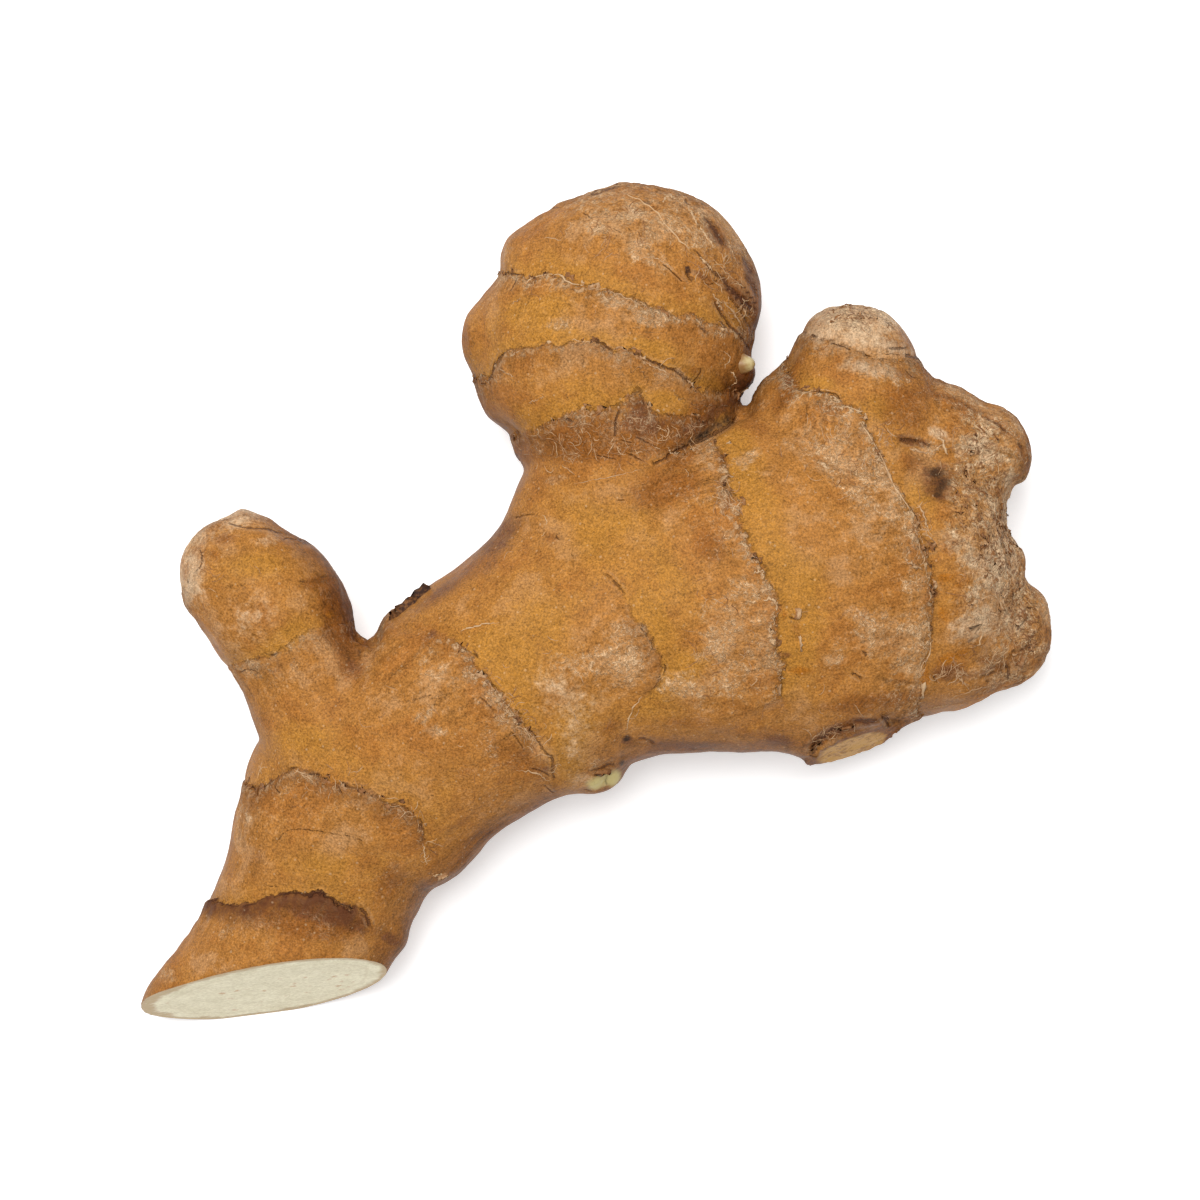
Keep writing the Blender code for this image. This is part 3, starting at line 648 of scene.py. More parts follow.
# Lines across the top, as their points, half-width and strength: dark cracks and pale threads.
CRACKS = [
    ([(-13.8, 47.6), (-12.6, 47.1), (-10.9, 47.1)], 0.22, 0.8),
    ([(-12.9, 44.3), (-12.3, 45.4), (-12, 46.6)], 0.12, 0.9),
    ([(-8.2, 55.9), (-6.8, 56.3), (-5.4, 56.6)], 0.12, 0.6),
    ([(-3, 56), (-2, 55.6), (-1, 55)], 0.12, 0.7),
    ([(-1.6, 58.4), (0.4, 59), (2.6, 59.6)], 0.26, 1.0),
    ([(1.8, 53.8), (3, 53)], 0.12, 0.6),
    ([(6.2, 57.7), (7.4, 57.1)], 0.2, 0.6),
    ([(13.2, 50.6), (14.6, 49.2), (16, 47.6), (17.2, 46.8)], 0.26, 0.8),
    ([(16.6, 47.2), (18, 46), (19.6, 44.2), (21, 42.8), (22.3, 41.6)], 0.4, 0.9),
    ([(12.2, 57.7), (12.7, 57)], 0.2, 0.8),
    ([(14.6, 55.4), (15.5, 54.8), (16.4, 53.4), (17.4, 52), (17.6, 50.7)], 0.36, 0.9),
    ([(20.4, 49.6), (21.2, 48.4), (22, 46.6)], 0.3, 0.9),
    ([(20.6, 47.4), (21.6, 45.6), (22.6, 43.6)], 0.4, 0.9),
    ([(8.6, 48.6), (9.9, 47.8), (11, 46.7), (12.2, 45.8)], 0.14, 0.7),
    ([(12.5, 47.9), (12.8, 46.8), (13.6, 45.8)], 0.36, 1.0),
    ([(14.4, 45.9), (15.8, 45.6), (17, 45.9)], 0.13, 0.5),
    ([(16.4, 43.6), (17.2, 42.2), (18.4, 40.4), (19.6, 38.6), (21.6, 35.8)], 0.22, 0.8),
    ([(18.4, 44.2), (19.8, 42.2), (22, 38.6)], 0.2, 0.5),
    ([(14.2, 39.7), (14.8, 39.1), (15.6, 38.4)], 0.26, 0.7),
    ([(-16.3, 31.4), (-15.6, 33.4), (-14.9, 34.8), (-13.6, 36)], 0.28, 0.9),
    ([(-1, 37.7), (-0.5, 37.3), (0.6, 37.1), (1.2, 36.4), (2.2, 35.9)], 0.16, 1.0),
    ([(4.6, 35.9), (5.6, 35.6), (6.6, 34.8), (8.2, 34.2), (9.6, 33.6), (10.8, 33.2),
      (12.2, 31.9), (13.6, 31)], 0.24, 0.9),
    ([(14.3, 33.8), (14.5, 32.6), (13.9, 31.9), (13.4, 31.3)], 0.18, 0.7),
    ([(2.9, 27.8), (2.4, 26.4), (2.2, 24.8), (2.2, 23.4)], 0.2, 1.0),
    ([(-5, 26.4), (-3.7, 25.8)], 0.2, 0.8),
    ([(-0.5, 21), (1.4, 20.5), (2.8, 20.3)], 0.13, 0.8),
    ([(3.6, 21.4), (5.2, 20.6), (6.6, 20)], 0.14, 0.9),
    ([(5, 23.7), (6.6, 22.9), (8, 22)], 0.14, 0.9),
    ([(2.6, 23.3), (3.8, 22.9), (5, 22.6)], 0.1, 0.7),
    ([(7.4, 19.5), (9.2, 20.3), (10.5, 21.1), (13.1, 22.4), (15.7, 23.9), (18.2, 25.5),
      (20, 27)], 0.26, 1.0),
    ([(2.4, 14.4), (3.8, 14.5)], 0.12, 0.7),
    ([(-13, 11.8), (-11, 12.3), (-9.2, 12.4), (-8.6, 11.6)], 0.13, 0.45),
    ([(-6.4, 9.2), (-5.6, 8.6)], 0.2, 0.6),
    ([(-4.4, 6.8), (-3.4, 6)], 0.14, 0.5),
    ([(0.3, 4), (1.8, 2.9), (3, 1.6), (3.9, 0)], 0.26, 0.5),
    ([(5.6, -3.6), (6.6, -4.8), (7.2, -6)], 0.18, 0.5),
    ([(9.2, -9.1), (9.5, -10), (9.1, -11)], 0.15, 0.8),
    ([(8.4, -11.8), (7.4, -13.2)], 0.14, 0.5),
    ([(-18.4, -7.7), (-17.6, -8.3)], 0.2, 0.5),
    ([(-17.6, -13.7), (-16.4, -14.8), (-15.2, -16)], 0.14, 0.7),
    ([(-17.4, -10.4), (-16, -12), (-14.2, -12.9)], 0.24, 0.35),
    ([(-10.4, -18), (-9.4, -19.8), (-8.2, -21.6), (-6.9, -22.9), (-6.8, -24.4),
      (-6.5, -26.6)], 0.28, 0.6),
    ([(-13.4, -18.4), (-12, -20), (-11, -21.6)], 0.12, 0.5),
    ([(-10.2, -24.2), (-8.6, -24.6), (-7, -25.6)], 0.14, 0.8),
    ([(-8.4, -26.6), (-7, -27.6), (-6.2, -28.2)], 0.14, 0.6),
    ([(5.2, -20.2), (6.8, -20.4), (8.2, -21)], 0.2, 0.8),
    ([(-2.6, -27.3), (-1, -27.5)], 0.14, 0.7),
    ([(-1.8, -24.7), (0.2, -24.3), (1.4, -23.7), (2.4, -23.9)], 0.2, 0.7),
    ([(0.9, -26.6), (0.7, -25.6), (1.2, -24.6)], 0.13, 0.8),
    ([(-29, -14.8), (-26, -14.2), (-22, -13)], 0.2, 0.35),
    ([(-46.4, -34.9), (-45.6, -33.6), (-43.8, -33.1), (-41, -33.3), (-38, -33.8),
      (-35.8, -34.1), (-33.8, -34.9)], 0.11, 0.38),
    ([(-48.8, -41.1), (-46.8, -41.4), (-44.6, -41)], 0.12, 0.35),
    ([(-46.6, -26.3), (-46.8, -27.2), (-45.8, -28)], 0.13, 0.7),
    ([(-44.8, -24.5), (-43.8, -24.1)], 0.24, 0.8),
    ([(-42.2, -25), (-40.4, -25.3)], 0.15, 0.7),
    ([(-37.6, -26.6), (-35.8, -27)], 0.22, 0.9),
    ([(-31, -29.8), (-28.8, -29.8)], 0.13, 0.6),
    ([(-50.4, -26.8), (-49.6, -27.6)], 0.13, 0.7),
    ([(-47.2, -42.8), (-44.4, -42.2), (-42.2, -42.7), (-40.6, -42.1), (-39, -43),
      (-37.2, -44.2)], 0.34, 0.8),
    ([(-35, -44.3), (-34, -45), (-33.4, -46.2), (-33, -47.5)], 0.3, 1.0),
    ([(-53.8, 11.1), (-50.6, 10.5), (-48, 10.4), (-45.8, 9.6)], 0.15, 0.8),
    ([(-45.9, 8.6), (-45, 9), (-43.6, 8.5)], 0.14, 0.7),
    ([(-44, 8.9), (-42.2, 8.3), (-41.4, 8)], 0.26, 0.9),
    ([(-54.8, 1.8), (-52.4, 2), (-50.2, 2.4)], 0.26, 0.3),
    ([(-44.8, 2.3), (-42.6, 2.8), (-41, 2.7), (-39.2, 3.9)], 0.26, 0.35),
    ([(-58, 7.6), (-57.6, 6.2), (-58.2, 4.4), (-59, 3.6)], 0.13, 0.6),
    ([(-59.5, 2), (-59.7, 3.4)], 0.13, 0.5),
    ([(-52.4, -10.6), (-50.6, -10), (-49, -10.9)], 0.13, 0.5),
    ([(-50.3, -8.7), (-48, -8.2), (-46, -7.5)], 0.18, 0.45),
    ([(30.2, 38.4), (31.4, 38)], 0.26, 0.7),
    ([(33.2, 37.2), (34.8, 36.7), (36.6, 35.9)], 0.13, 0.8),
    ([(38.2, 35.4), (39.4, 35.3)], 0.16, 0.9),
    ([(40.4, 35), (42, 34.7)], 0.1, 0.6),
    ([(41.4, 36.5), (43, 36.3), (44.6, 36.5)], 0.2, 0.8),
    ([(43.8, 35.6), (45.2, 35.1), (46.4, 34.9)], 0.28, 0.9),
    ([(43.9, 33.3), (45, 32.3), (45.8, 31.7)], 0.1, 0.8),
    ([(40.8, 40.6), (41.8, 39.6), (42.6, 38.8)], 0.24, 0.6),
    ([(28.4, 30.1), (30, 30.2), (32, 30.1), (34, 29.9), (34.8, 28.8)], 0.14, 0.7),
    ([(38.4, 27), (37.9, 26.2)], 0.12, 0.9),
    ([(38.4, 24.6), (39.4, 23.8)], 0.24, 0.8),
    ([(42.8, 23.3), (44.8, 23), (46.6, 22.8), (48, 22.2)], 0.3, 0.6),
    ([(55.2, 26.6), (56.8, 25.8), (58, 24.8), (59.2, 24)], 0.26, 0.6),
    ([(60.4, 22.6), (61.4, 21.6)], 0.26, 0.6),
    ([(45.3, 12.7), (45.9, 11.4), (46.6, 10)], 0.14, 0.9),
    ([(46.2, 7.6), (47.4, 7.3), (48.8, 8)], 0.34, 0.7),
    ([(47.8, 2), (48.4, 1.3), (49, 0.6)], 0.4, 0.9),
    ([(37.8, -7.1), (38.4, -7.8), (38.3, -8.5)], 0.24, 0.8),
    ([(36.3, -10.4), (37, -11), (37.9, -11.5)], 0.24, 0.9),
    ([(27.3, -2.4), (28.2, -2.9)], 0.24, 0.8),
    ([(59.8, -4.6), (61.2, -3.2), (62.2, -2.2)], 0.2, 0.7),
    ([(60.6, -7.8), (62, -6.6), (63.6, -6.2)], 0.28, 0.8),
    ([(61, -1.4), (62.4, -1.2), (63.4, -1.8)], 0.2, 0.7),
    ([(58.8, -9.4), (59.2, -10.6), (58.9, -11.4)], 0.34, 0.9),
    ([(54.6, -11.1), (56.4, -10.8), (57.8, -10.6)], 0.2, 0.8),
    ([(48, -10.8), (48.6, -11.8)], 0.24, 0.7),
    ([(30.4, -22.8), (31, -21.4), (32.6, -20.2), (34.6, -18.9)], 0.5, 0.8),
    ([(36.6, -17.7), (38.4, -17.5), (40, -17)], 0.4, 0.8),
    ([(40.4, -16.6), (41.4, -17.6), (41.9, -18.8)], 0.24, 0.9),
]
THREADS = [
    ([(3.4, 58.8), (5.6, 57.8), (8, 56.2), (9.6, 54.4), (11.4, 52.2), (13, 50.8)], 0.24, 0.9),
    ([(14.4, 49.6), (15.4, 48.6), (16.2, 47.6)], 0.3, 0.8),
    ([(12.6, 57), (13.4, 55.6), (14, 54.2)], 0.3, 0.8),
    ([(14.6, 54), (15.4, 52.4), (16.6, 51)], 0.4, 0.8),
    ([(18.4, 51.6), (19.4, 49.8)], 0.2, 0.5),
    ([(16.2, 49.4), (18, 47.6), (20.4, 45.2)], 0.13, 0.6),
    ([(16.2, 44.2), (17.2, 42.8), (17.8, 41.8)], 0.3, 0.7),
    ([(17.9, 43.2), (19.6, 41), (21.2, 38.4)], 0.22, 0.6),
    ([(9, 57.4), (10, 58.4), (11.2, 57.8)], 0.3, 0.8),
    ([(-10.6, 45.6), (-9.4, 46.6), (-7.6, 47), (-5.6, 46.8), (-4.4, 45.8), (-2, 45.4)], 0.3, 0.9),
    ([(-12.8, 42.8), (-11.4, 43.6)], 0.1, 0.5),
    ([(-1.6, 45), (0.6, 44.8), (2.8, 44.2), (4.6, 43.2), (6.6, 42.6)], 0.12, 0.6),
    ([(5.8, 49.4), (7.4, 49.6), (8.8, 49), (10.2, 48)], 0.13, 0.7),
    ([(-4.4, 37.8), (-2.8, 37.4), (-1, 37.4)], 0.14, 0.7),
    ([(-13, 35.2), (-11.8, 36)], 0.24, 0.6),
    ([(-14.6, 33.4), (-13.4, 32.8), (-12.4, 32.2)], 0.13, 0.6),
    ([(6.4, 34.3), (8.4, 33.5), (10.6, 32.5)], 0.2, 0.6),
    ([(17.9, 36), (18.8, 35), (18, 33.6)], 0.13, 0.7),
    ([(19, 33), (19.7, 31.6), (19.1, 31)], 0.2, 1.0),
    ([(9.9, 22.1), (10.1, 21.3), (11, 20.8)], 0.2, 1.0),
    ([(13.1, 22), (13.5, 21.5)], 0.3, 0.8),
    ([(18.4, 22.8), (18.9, 22.6)], 0.35, 0.9),
    ([(-20.2, -4.5), (-18.6, -4), (-17, -3.6), (-14.6, -3.1)], 0.16, 1.0),
    ([(-3.8, 16.8), (0, 17.4), (2.8, 18.1), (5.8, 18.8)], 0.11, 0.7),
    ([(-10.4, 28.5), (-8, 29.4)], 0.11, 0.7),
    ([(-25.7, -35.2), (-25.3, -36.4), (-25.2, -38.2)], 0.17, 1.0),
    ([(-24.2, -39.8), (-22.8, -39.6), (-21.8, -40.2)], 0.22, 1.0),
    ([(-4.2, -15.6), (-3.6, -17), (-2.8, -18.4)], 0.12, 0.7),
    ([(6, -13.8), (5.2, -15), (4.2, -17), (3.8, -18.8)], 0.16, 0.7),
    ([(27, 27.8), (28.2, 28.8), (29.6, 29.9), (31.4, 30.3), (33.6, 30.2)], 0.15, 0.9),
    ([(35.2, 28), (36.8, 27.5), (38, 27.2), (38.5, 26.5)], 0.2, 0.9),
    ([(37.6, 25.8), (38.2, 24.8), (39.2, 23.2), (40, 21.6), (41, 19.8), (42, 17.6),
      (43.4, 15.2), (45, 13)], 0.34, 0.7),
    ([(46, 13.8), (46.8, 12), (47.4, 10)], 0.22, 0.7),
    ([(44, 6), (45, 5.2), (46.4, 4.6)], 0.4, 0.6),
    ([(45.5, 11), (45.6, 9.6)], 0.3, 0.6),
    ([(47.6, -5), (47.8, -7), (47.3, -8.4), (46.4, -9.6), (46, -11)], 0.2, 0.7),
    ([(51.8, -3.2), (53.6, -2.8), (55, -3.8), (55.2, -5.2), (54.4, -6.6), (53.4, -6.8)], 0.2, 0.9),
    ([(54.6, -0.2), (56.6, 0.6), (58, -0.6), (58.4, -3)], 0.2, 0.6),
    ([(31.4, 20), (32.4, 19.4), (33, 18.9)], 0.4, 0.9),
    ([(18.4, 13.3), (19.6, 13.5), (20.8, 14.2)], 0.13, 0.9),
    ([(17.6, 12.4), (18.8, 12)], 0.13, 0.7),
    ([(16.9, 18.6), (17.8, 18.9), (18.6, 18.2)], 0.13, 0.9),
    ([(16.2, 15.2), (17.6, 14.6), (18.6, 15.6)], 0.13, 0.8),
    ([(22.3, 4), (23.2, 4.3), (23.8, 3.6)], 0.3, 0.8),
    ([(23.4, -0.2), (24.6, 0.2), (25.4, -0.6), (25.6, -1.4)], 0.3, 0.8),
    ([(24.3, -4.2), (25, -4.6)], 0.3, 0.7),
    ([(47.8, 25), (48.6, 23.8), (49.6, 22.6), (50.2, 20.8)], 0.4, 0.8),
    ([(44.6, 21.8), (46.6, 21.4), (48.6, 21)], 0.34, 0.6),
    ([(53.6, 25.6), (55, 24.6), (56.8, 23.4)], 0.24, 0.7),
    ([(50, -14.4), (54, -13), (57, -12.2)], 0.14, 0.5),
    ([(47, -15.8), (51, -14.9)], 0.12, 0.5),
    ([(-12, -24.6), (-9.4, -25), (-7.2, -26.2)], 0.14, 0.7),
    ([(-12.4, -16), (-11, -18), (-9.8, -20.4)], 0.16, 0.6),
]
# Folds in the skin that only the shape shows: points, half-width and depth in millimetres.
FOLDS = [
    ([(9.6, 20.6), (13.1, 22.4), (15.7, 23.9), (18.2, 25.5), (20, 27)], 0.9, 0.9),
    ([(-40, -4), (-37, -6.4), (-34.4, -8), (-32.6, -7)], 1.5, 0.7),
    ([(-33.6, -7.4), (-35.6, -10.6), (-36.4, -12.4)], 1.2, 0.4),
    ([(43, 22.6), (46, 22.2), (48.4, 19.6), (49, 16), (48.6, 14)], 1.4, 0.5),
    ([(57, 17.6), (59.6, 16.6), (61, 17)], 1.6, 0.5),
    ([(56, -10), (59, -9.6), (61.6, -11)], 1.3, 0.4),
    ([(40, -15.4), (41.6, -17), (42.6, -18.6)], 1.1, 0.5),
    ([(30, -23), (32, -20.6), (35, -18.6), (38.6, -17.4)], 0.9, 0.35),
    ([(3.6, -19), (3.8, -21.6), (3.4, -24)], 1.0, 0.4),
    ([(47.4, 9), (48.4, 4), (48.6, -2), (47.6, -7)], 1.6, 0.5),
]
# Scars of thin roots on the underside: x, y and radius.
ROOT_SCARS = [
    (-44, -34, 1.3), (-33, -28, 1.1), (-24, -12, 1.4), (-8, -9, 1.2), (6, 6, 1.5), (18, -7, 1.3),
    (31, 10, 1.6), (42, -6, 1.2), (34, 27, 1.1), (-3, 34, 1.4), (9, 44, 1.2), (-46, 0, 1.1),
    (24, 4, 1.0), (-2, 44, 1.0), (46, 12, 1.3),
]
TOP = smooth_step(-0.3, 0.05, facing[:, 2])  # 1 where the eye above sees the skin
CRACKS_APART = 2.4  # nearer than this, in millimetres, two cracks go in different layers


def airbrush(spots):
    """Soft ovals laid over each other: a bell falling to a fifth of its strength at the edge."""
    wander = 1 + 0.30 * noise(place, 3.4, 31) + 0.22 * noise(place, 1.2, 32)
    left = np.ones(count)
    for x, y, long, wide, turn, strength in spots:
        angle = math.radians(turn)
        gap = seen - (x, y)
        ahead = gap @ (math.cos(angle), math.sin(angle))
        across = gap @ (-math.sin(angle), math.cos(angle))
        reach = ((ahead / long) ** 2 + (across / wide) ** 2) * wander
        left *= 1 - strength * np.exp(-1.6 * reach)
    return (1 - left) * TOP


def apart(lines, least):
    """Sorts lines into two lots, so that in the first none comes nearer another than least."""
    first, second = [], []
    taken = np.full((1, 2), 999.0)
    for line in lines:
        curve = through(line[0], 4)
        gap = np.linalg.norm(curve[:, None] - taken, axis=2).min()
        if gap < least:
            second.append(line)
        else:
            first.append(line)
            taken = np.vstack([taken, curve])
    return first, second


def beside(lines):
    """Signed distance to the nearest of these lines, its half-width there, and its strength.

    Strength fades over the last millimetre of a line, past its ends and far from it.
    """
    nearest = np.full(count, 99.0)
    across = np.full(count, 9.0)
    half = np.full(count, 1.0)
    strong = np.zeros(count)
    for points, half_width, strength in lines:
        curve = through(points, 5)
        close = np.flatnonzero(((seen > curve.min(0) - 4) & (seen < curve.max(0) + 4)).all(axis=1))
        step = np.diff(curve, axis=0)
        length = np.linalg.norm(step, axis=1)
        step /= length[:, None]
        gap = seen[close, None] - curve[:-1]
        ahead = (gap * step).sum(axis=2)
        side = gap[..., 1] * step[:, 0] - gap[..., 0] * step[:, 1]
        past = np.maximum(np.maximum(-ahead, ahead - length), 0)
        reach = np.hypot(past, side)
        best = reach.argmin(axis=1)[:, None]
        reach, side, past, ahead = (
            np.take_along_axis(grid, best, 1)[:, 0] for grid in (reach, side, past, ahead)
        )
        run = np.concatenate([[0], length.cumsum()])
        spot = run[best[:, 0]] + ahead
        end = np.minimum(spot, run[-1] - spot)
        fade = smooth_step(-0.2, min(1.0, run[-1] / 3), end)
        mine = reach < nearest[close]
        chosen = close[mine]
        nearest[chosen] = reach[mine]
        across[chosen] = side[mine]
        half[chosen] = half_width
        strong[chosen] = (strength * fade)[mine]
    strong *= smooth_step(2.0, 1.0, nearest) * TOP
    return across, half, strong


def streaks(size, seed):
    """Noise drawn out six times along the growth of the finger, for lengthwise wrinkles."""
    return layered(grain * (1 / 6, 1, 1), size, seed, 2)


patches = layered(place, 9, 41)
fine_patches = layered(place, 3.2, 44)
new_skin = 0.8 * fresh * smooth_step(0.45, 0.02, age + 0.3 * patches)
gold = 1 - (1 - new_skin) * (1 - airbrush(GOLD))
old_skin = 0.6 * smooth_step(0.5, 1.0, age + 0.25 * patches)
bloom = 1 - (1 - old_skin) * (1 - airbrush(BLOOM))
brown = airbrush(BROWN)
facing_down = smooth_step(0.35, -0.25, facing[:, 2])
purple = airbrush(PURPLE)
# Painted shade: flanks that face down and towards -y, away from the light, are tinted purple.
purple = np.maximum(purple, 0.55 * facing_down * smooth_step(0.1, -0.75, facing[:, 1]))
# Underneath, the skin is browner in patches.
brown = np.maximum(brown, 0.45 * facing_down * smooth_step(-0.2, 0.5, patches + fine_patches))
soot = airbrush(SHADE_AND_DARK_SPOTS)
under_lip = ring_dark * smooth_step(-5.0, -1.0, ring_gap) * smooth_step(0.5, 0.0, ring_gap) * joint
bloom *= 1 - under_lip
# Painted shade: skin turned away from the light, which falls from above and a little from the upper
# left, is darkened towards a deep brown.
shade = smooth_step(0.74, 0.0, facing @ unit((-0.20, 0.14, 0.95)) + 0.12 * patches)
# The painted shade and most of the purple are lifted on these flanks.
unshaded = airbrush(UNSHADED_FLANKS)
shade *= 1 - unshaded
purple *= 1 - 0.8 * unshaded
cork = airbrush(CORKY)
amber = airbrush(AMBER)
chalk = airbrush(CHALK)
bud = airbrush(BUDS)
scar_middle = np.zeros(count)
scar_rim = np.zeros(count)
for x, y, radius in ROOT_SCARS:
    reach = np.linalg.norm(place[:, :2] - (x, y), axis=1) / radius + 0.12 * noise(place, 1.4, 46)
    below = smooth_step(-0.2, -0.5, facing[:, 2])
    scar_middle = np.maximum(scar_middle, smooth_step(0.85, 0.55, reach) * below)
    scar_rim = np.maximum(scar_rim, np.exp(-(((reach - 1) / 0.28) ** 2)) * below)
cork = np.maximum(cork, 0.7 * scar_middle)
brown = np.maximum(brown, scar_rim)
rough = smooth_step(0.3, 0.95, age + 0.35 * patches + 0.15 * streaks(5, 43))
rough = np.maximum(np.maximum(rough, cork), np.maximum(bloom, 0.8 * brown))
rough *= 1 - 0.7 * gold
cracks, spare = apart(CRACKS, CRACKS_APART)
crack_side, crack_half, crack_ink = beside(cracks)
split_side, split_half, split_ink = beside(spare)
fold_side, fold_half, fold_depth = beside(FOLDS)
flesh = on_cut.astype(float)
from_break = place - SHOOT_BREAK["point"]
across_break = np.hypot(from_break @ unit((0.944, 0.33, 0)) / 5.0, from_break[:, 2] / 5.6)
broken = on_break * smooth_step(1.08, 0.92, across_break + 0.08 * noise(place, 1.4, 47))
brown = np.maximum(brown, 0.9 * on_break * (1 - broken))
skin = 1 - np.maximum(on_cut, on_break)

# The relief of the skin, in millimetres: each ring's ragged lip; the swell between two rings;
# broad and small lumps; lengthwise and worm-like wrinkles where it is rough; cork crumbs;
# cracks and folds; and on the underside the root scars.
soft_edge = smooth_step(-0.45, 0.25, ring_gap)
lip_height = np.exp(-np.abs(ring_gap) / 1.6) * (1 - 1.6 * soft_edge)
ragged = 0.65 + 0.5 * noise(place, 2.4, 51)
relief = lip * lip_height * ragged * joint * (0.4 + 0.6 * smooth_step(0.0, 0.6, facing[:, 2]))
relief += 0.30 * np.sin(np.pi * np.clip(age, 0, 1)) * joint
relief += 0.42 * layered(place, 10, 52) + 0.16 * layered(place, 3.6, 53, 2)
relief += (0.06 + 0.16 * rough) * streaks(2.4, 54)
relief += 0.16 * rough * (1 - 2 * np.abs(noise(place, 1.9, 55)))
near_crumb, far_crumb = crumbs(place, 1.9, 56)
relief += 0.75 * cork * (np.minimum(far_crumb - near_crumb, 0.4) - 0.2)
relief -= 0.20 * crack_ink * np.exp(-((crack_side / (crack_half + 0.35)) ** 2))
relief -= 0.20 * split_ink * np.exp(-((split_side / (split_half + 0.35)) ** 2))
relief -= fold_depth * np.exp(-((fold_side / fold_half) ** 2))
relief += 0.30 * scar_rim - 0.35 * scar_middle
relief += 0.5 * bud
place += facing * (relief * skin)[:, None]

# The two cut faces are made flat again, and then the break is torn and the cut lightly sawn.
for cut, flat in ((KNIFE_CUT, on_cut), (SHOOT_BREAK, on_break)):
    way = unit(cut["slant"])
    depth = (place[flat] - cut["trim"]) @ way
    place[flat] -= depth[:, None] * way
torn = 0.30 * layered(place, 2.6, 57) + 0.12 * noise(place, 0.9, 58)
sawn = 0.03 * noise(place, 1.6, 59)
place += (on_break * torn)[:, None] * unit(SHOOT_BREAK["slant"])
place += (on_cut * sawn)[:, None] * unit(KNIFE_CUT["slant"])
place[:, 2] = np.maximum(place[:, 2], 0.0)

rim_points = place[on_cut & (np.abs(facing @ unit(KNIFE_CUT["slant"])) < 0.9)]
rim_gap = np.full(count, 9.0)
rim_gap[on_cut] = np.linalg.norm(place[on_cut, None] - rim_points[::2], axis=2).min(axis=1)

MARKS = {
    "ring_gap": ring_gap, "ringness": ringness, "ring_dark": ring_dark, "flaky": flaky,
    "gold": gold, "bloom": bloom, "brown": brown, "purple": purple, "soot": soot,
    "cork": cork, "amber": amber, "chalk": chalk, "rim_gap": rim_gap, "bud": bud,
    "rough": rough, "broken": broken,
    "crack": crack_side / crack_half, "crack_ink": crack_ink,
    "split": split_side / split_half, "split_ink": split_ink, "shade": shade,
}
skin_mesh.vertices.foreach_set("co", (place * MM).ravel())
for name, values in MARKS.items():
    layer = skin_mesh.attributes.new(name, "FLOAT", "POINT")
    layer.data.foreach_set("value", values.astype(np.float32))
layer = skin_mesh.attributes.new("grain", "FLOAT_VECTOR", "POINT")
layer.data.foreach_set("vector", grain.astype(np.float32).ravel())


class Socket:
    """A shader value in an expression: + - * and the calls below add Math nodes."""

    def __init__(self, tree, link):
        self.tree, self.link = tree, link

    def math(self, operation, *others):
        return node(self.tree, "ShaderNodeMath", {"operation": operation}, 0, self, *others)

    def __add__(self, other):
        return self.math("ADD", other)

    def __sub__(self, other):
        return self.math("SUBTRACT", other)

    def __rsub__(self, other):
        return node(self.tree, "ShaderNodeMath", {"operation": "SUBTRACT"}, 0, other, self)

    def __mul__(self, other):
        return self.math("MULTIPLY", other)

    __radd__ = __add__
    __rmul__ = __mul__

    def most(self, other):
        return self.math("MAXIMUM", other)

    def least(self, other):
        return self.math("MINIMUM", other)

    def size(self):
        return self.math("ABSOLUTE")

    def ease(self, low, high):
        """0 below low and 1 above high, with an easy curve between; high may be the smaller."""
        settings = {"interpolation_type": "SMOOTHSTEP"}
        flip = low > high
        span = (self, min(low, high), max(low, high), 1.0 if flip else 0.0, 0.0 if flip else 1.0)
        return node(self.tree, "ShaderNodeMapRange", settings, 0, *span)


def node(tree, kind, settings, output, *values, **named):
    """Adds a node: settings first, then values or links for its sockets in order or by name."""
    made = tree.nodes.new(kind)
    for name, value in settings.items():
        setattr(made, name, value)
    sockets = [(made.inputs[i], value) for i, value in enumerate(values)]
    sockets += [(made.inputs[name.replace("_", " ")], value) for name, value in named.items()]
    for socket, value in sockets:
        if isinstance(value, Socket):
            tree.links.new(value.link, socket)
        elif value is not None:
            socket.default_value = value
    return Socket(tree, made.outputs[output])


def tint(tree, amount, under, over):
    """Lays one colour over another by an amount from 0 to 1."""
    made = tree.nodes.new("ShaderNodeMix")
    made.data_type = "RGBA"
    for index, value in ((0, amount), (6, under), (7, over)):
        if isinstance(value, Socket):
            tree.links.new(value.link, made.inputs[index])
        else:
            made.inputs[index].default_value = value if index == 0 else (*value, 1)
    return Socket(tree, made.outputs[2])


def reading(tree, name, output="Fac"):
    """One of the marks kept on the mesh's points."""
    return node(tree, "ShaderNodeAttribute", {"attribute_name": name}, output)


def grains(tree, where, size, detail=2.0, roughness=0.5, distortion=0.0, stretch=None):
    """Fractal noise whose lumps are about this size in millimetres, perhaps stretched."""
    scaled = where if stretch is None else node(
        tree, "ShaderNodeVectorMath", {"operation": "MULTIPLY"}, 0, where, stretch
    )
    return node(tree, "ShaderNodeTexNoise", {}, "Fac", Vector=scaled, Scale=1 / size,
                Detail=detail, Roughness=roughness, Distortion=distortion)


def cells(tree, where, size):
    """Distance to the nearest of scattered points that lie about this far apart, as a share."""
    return node(tree, "ShaderNodeTexVoronoi", {}, "Distance", Vector=where, Scale=1 / size)


def new_material(name):
    material = bpy.data.materials.new(name)
    material.use_nodes = True
    tree = material.node_tree
    return material, tree, tree.nodes["Principled BSDF"]


def in_millimetres(tree):
    """The point on the piece, in its own coordinates."""
    coordinates = node(tree, "ShaderNodeTexCoord", {}, "Object")
    return scaled_by(tree, coordinates, 1 / MM)


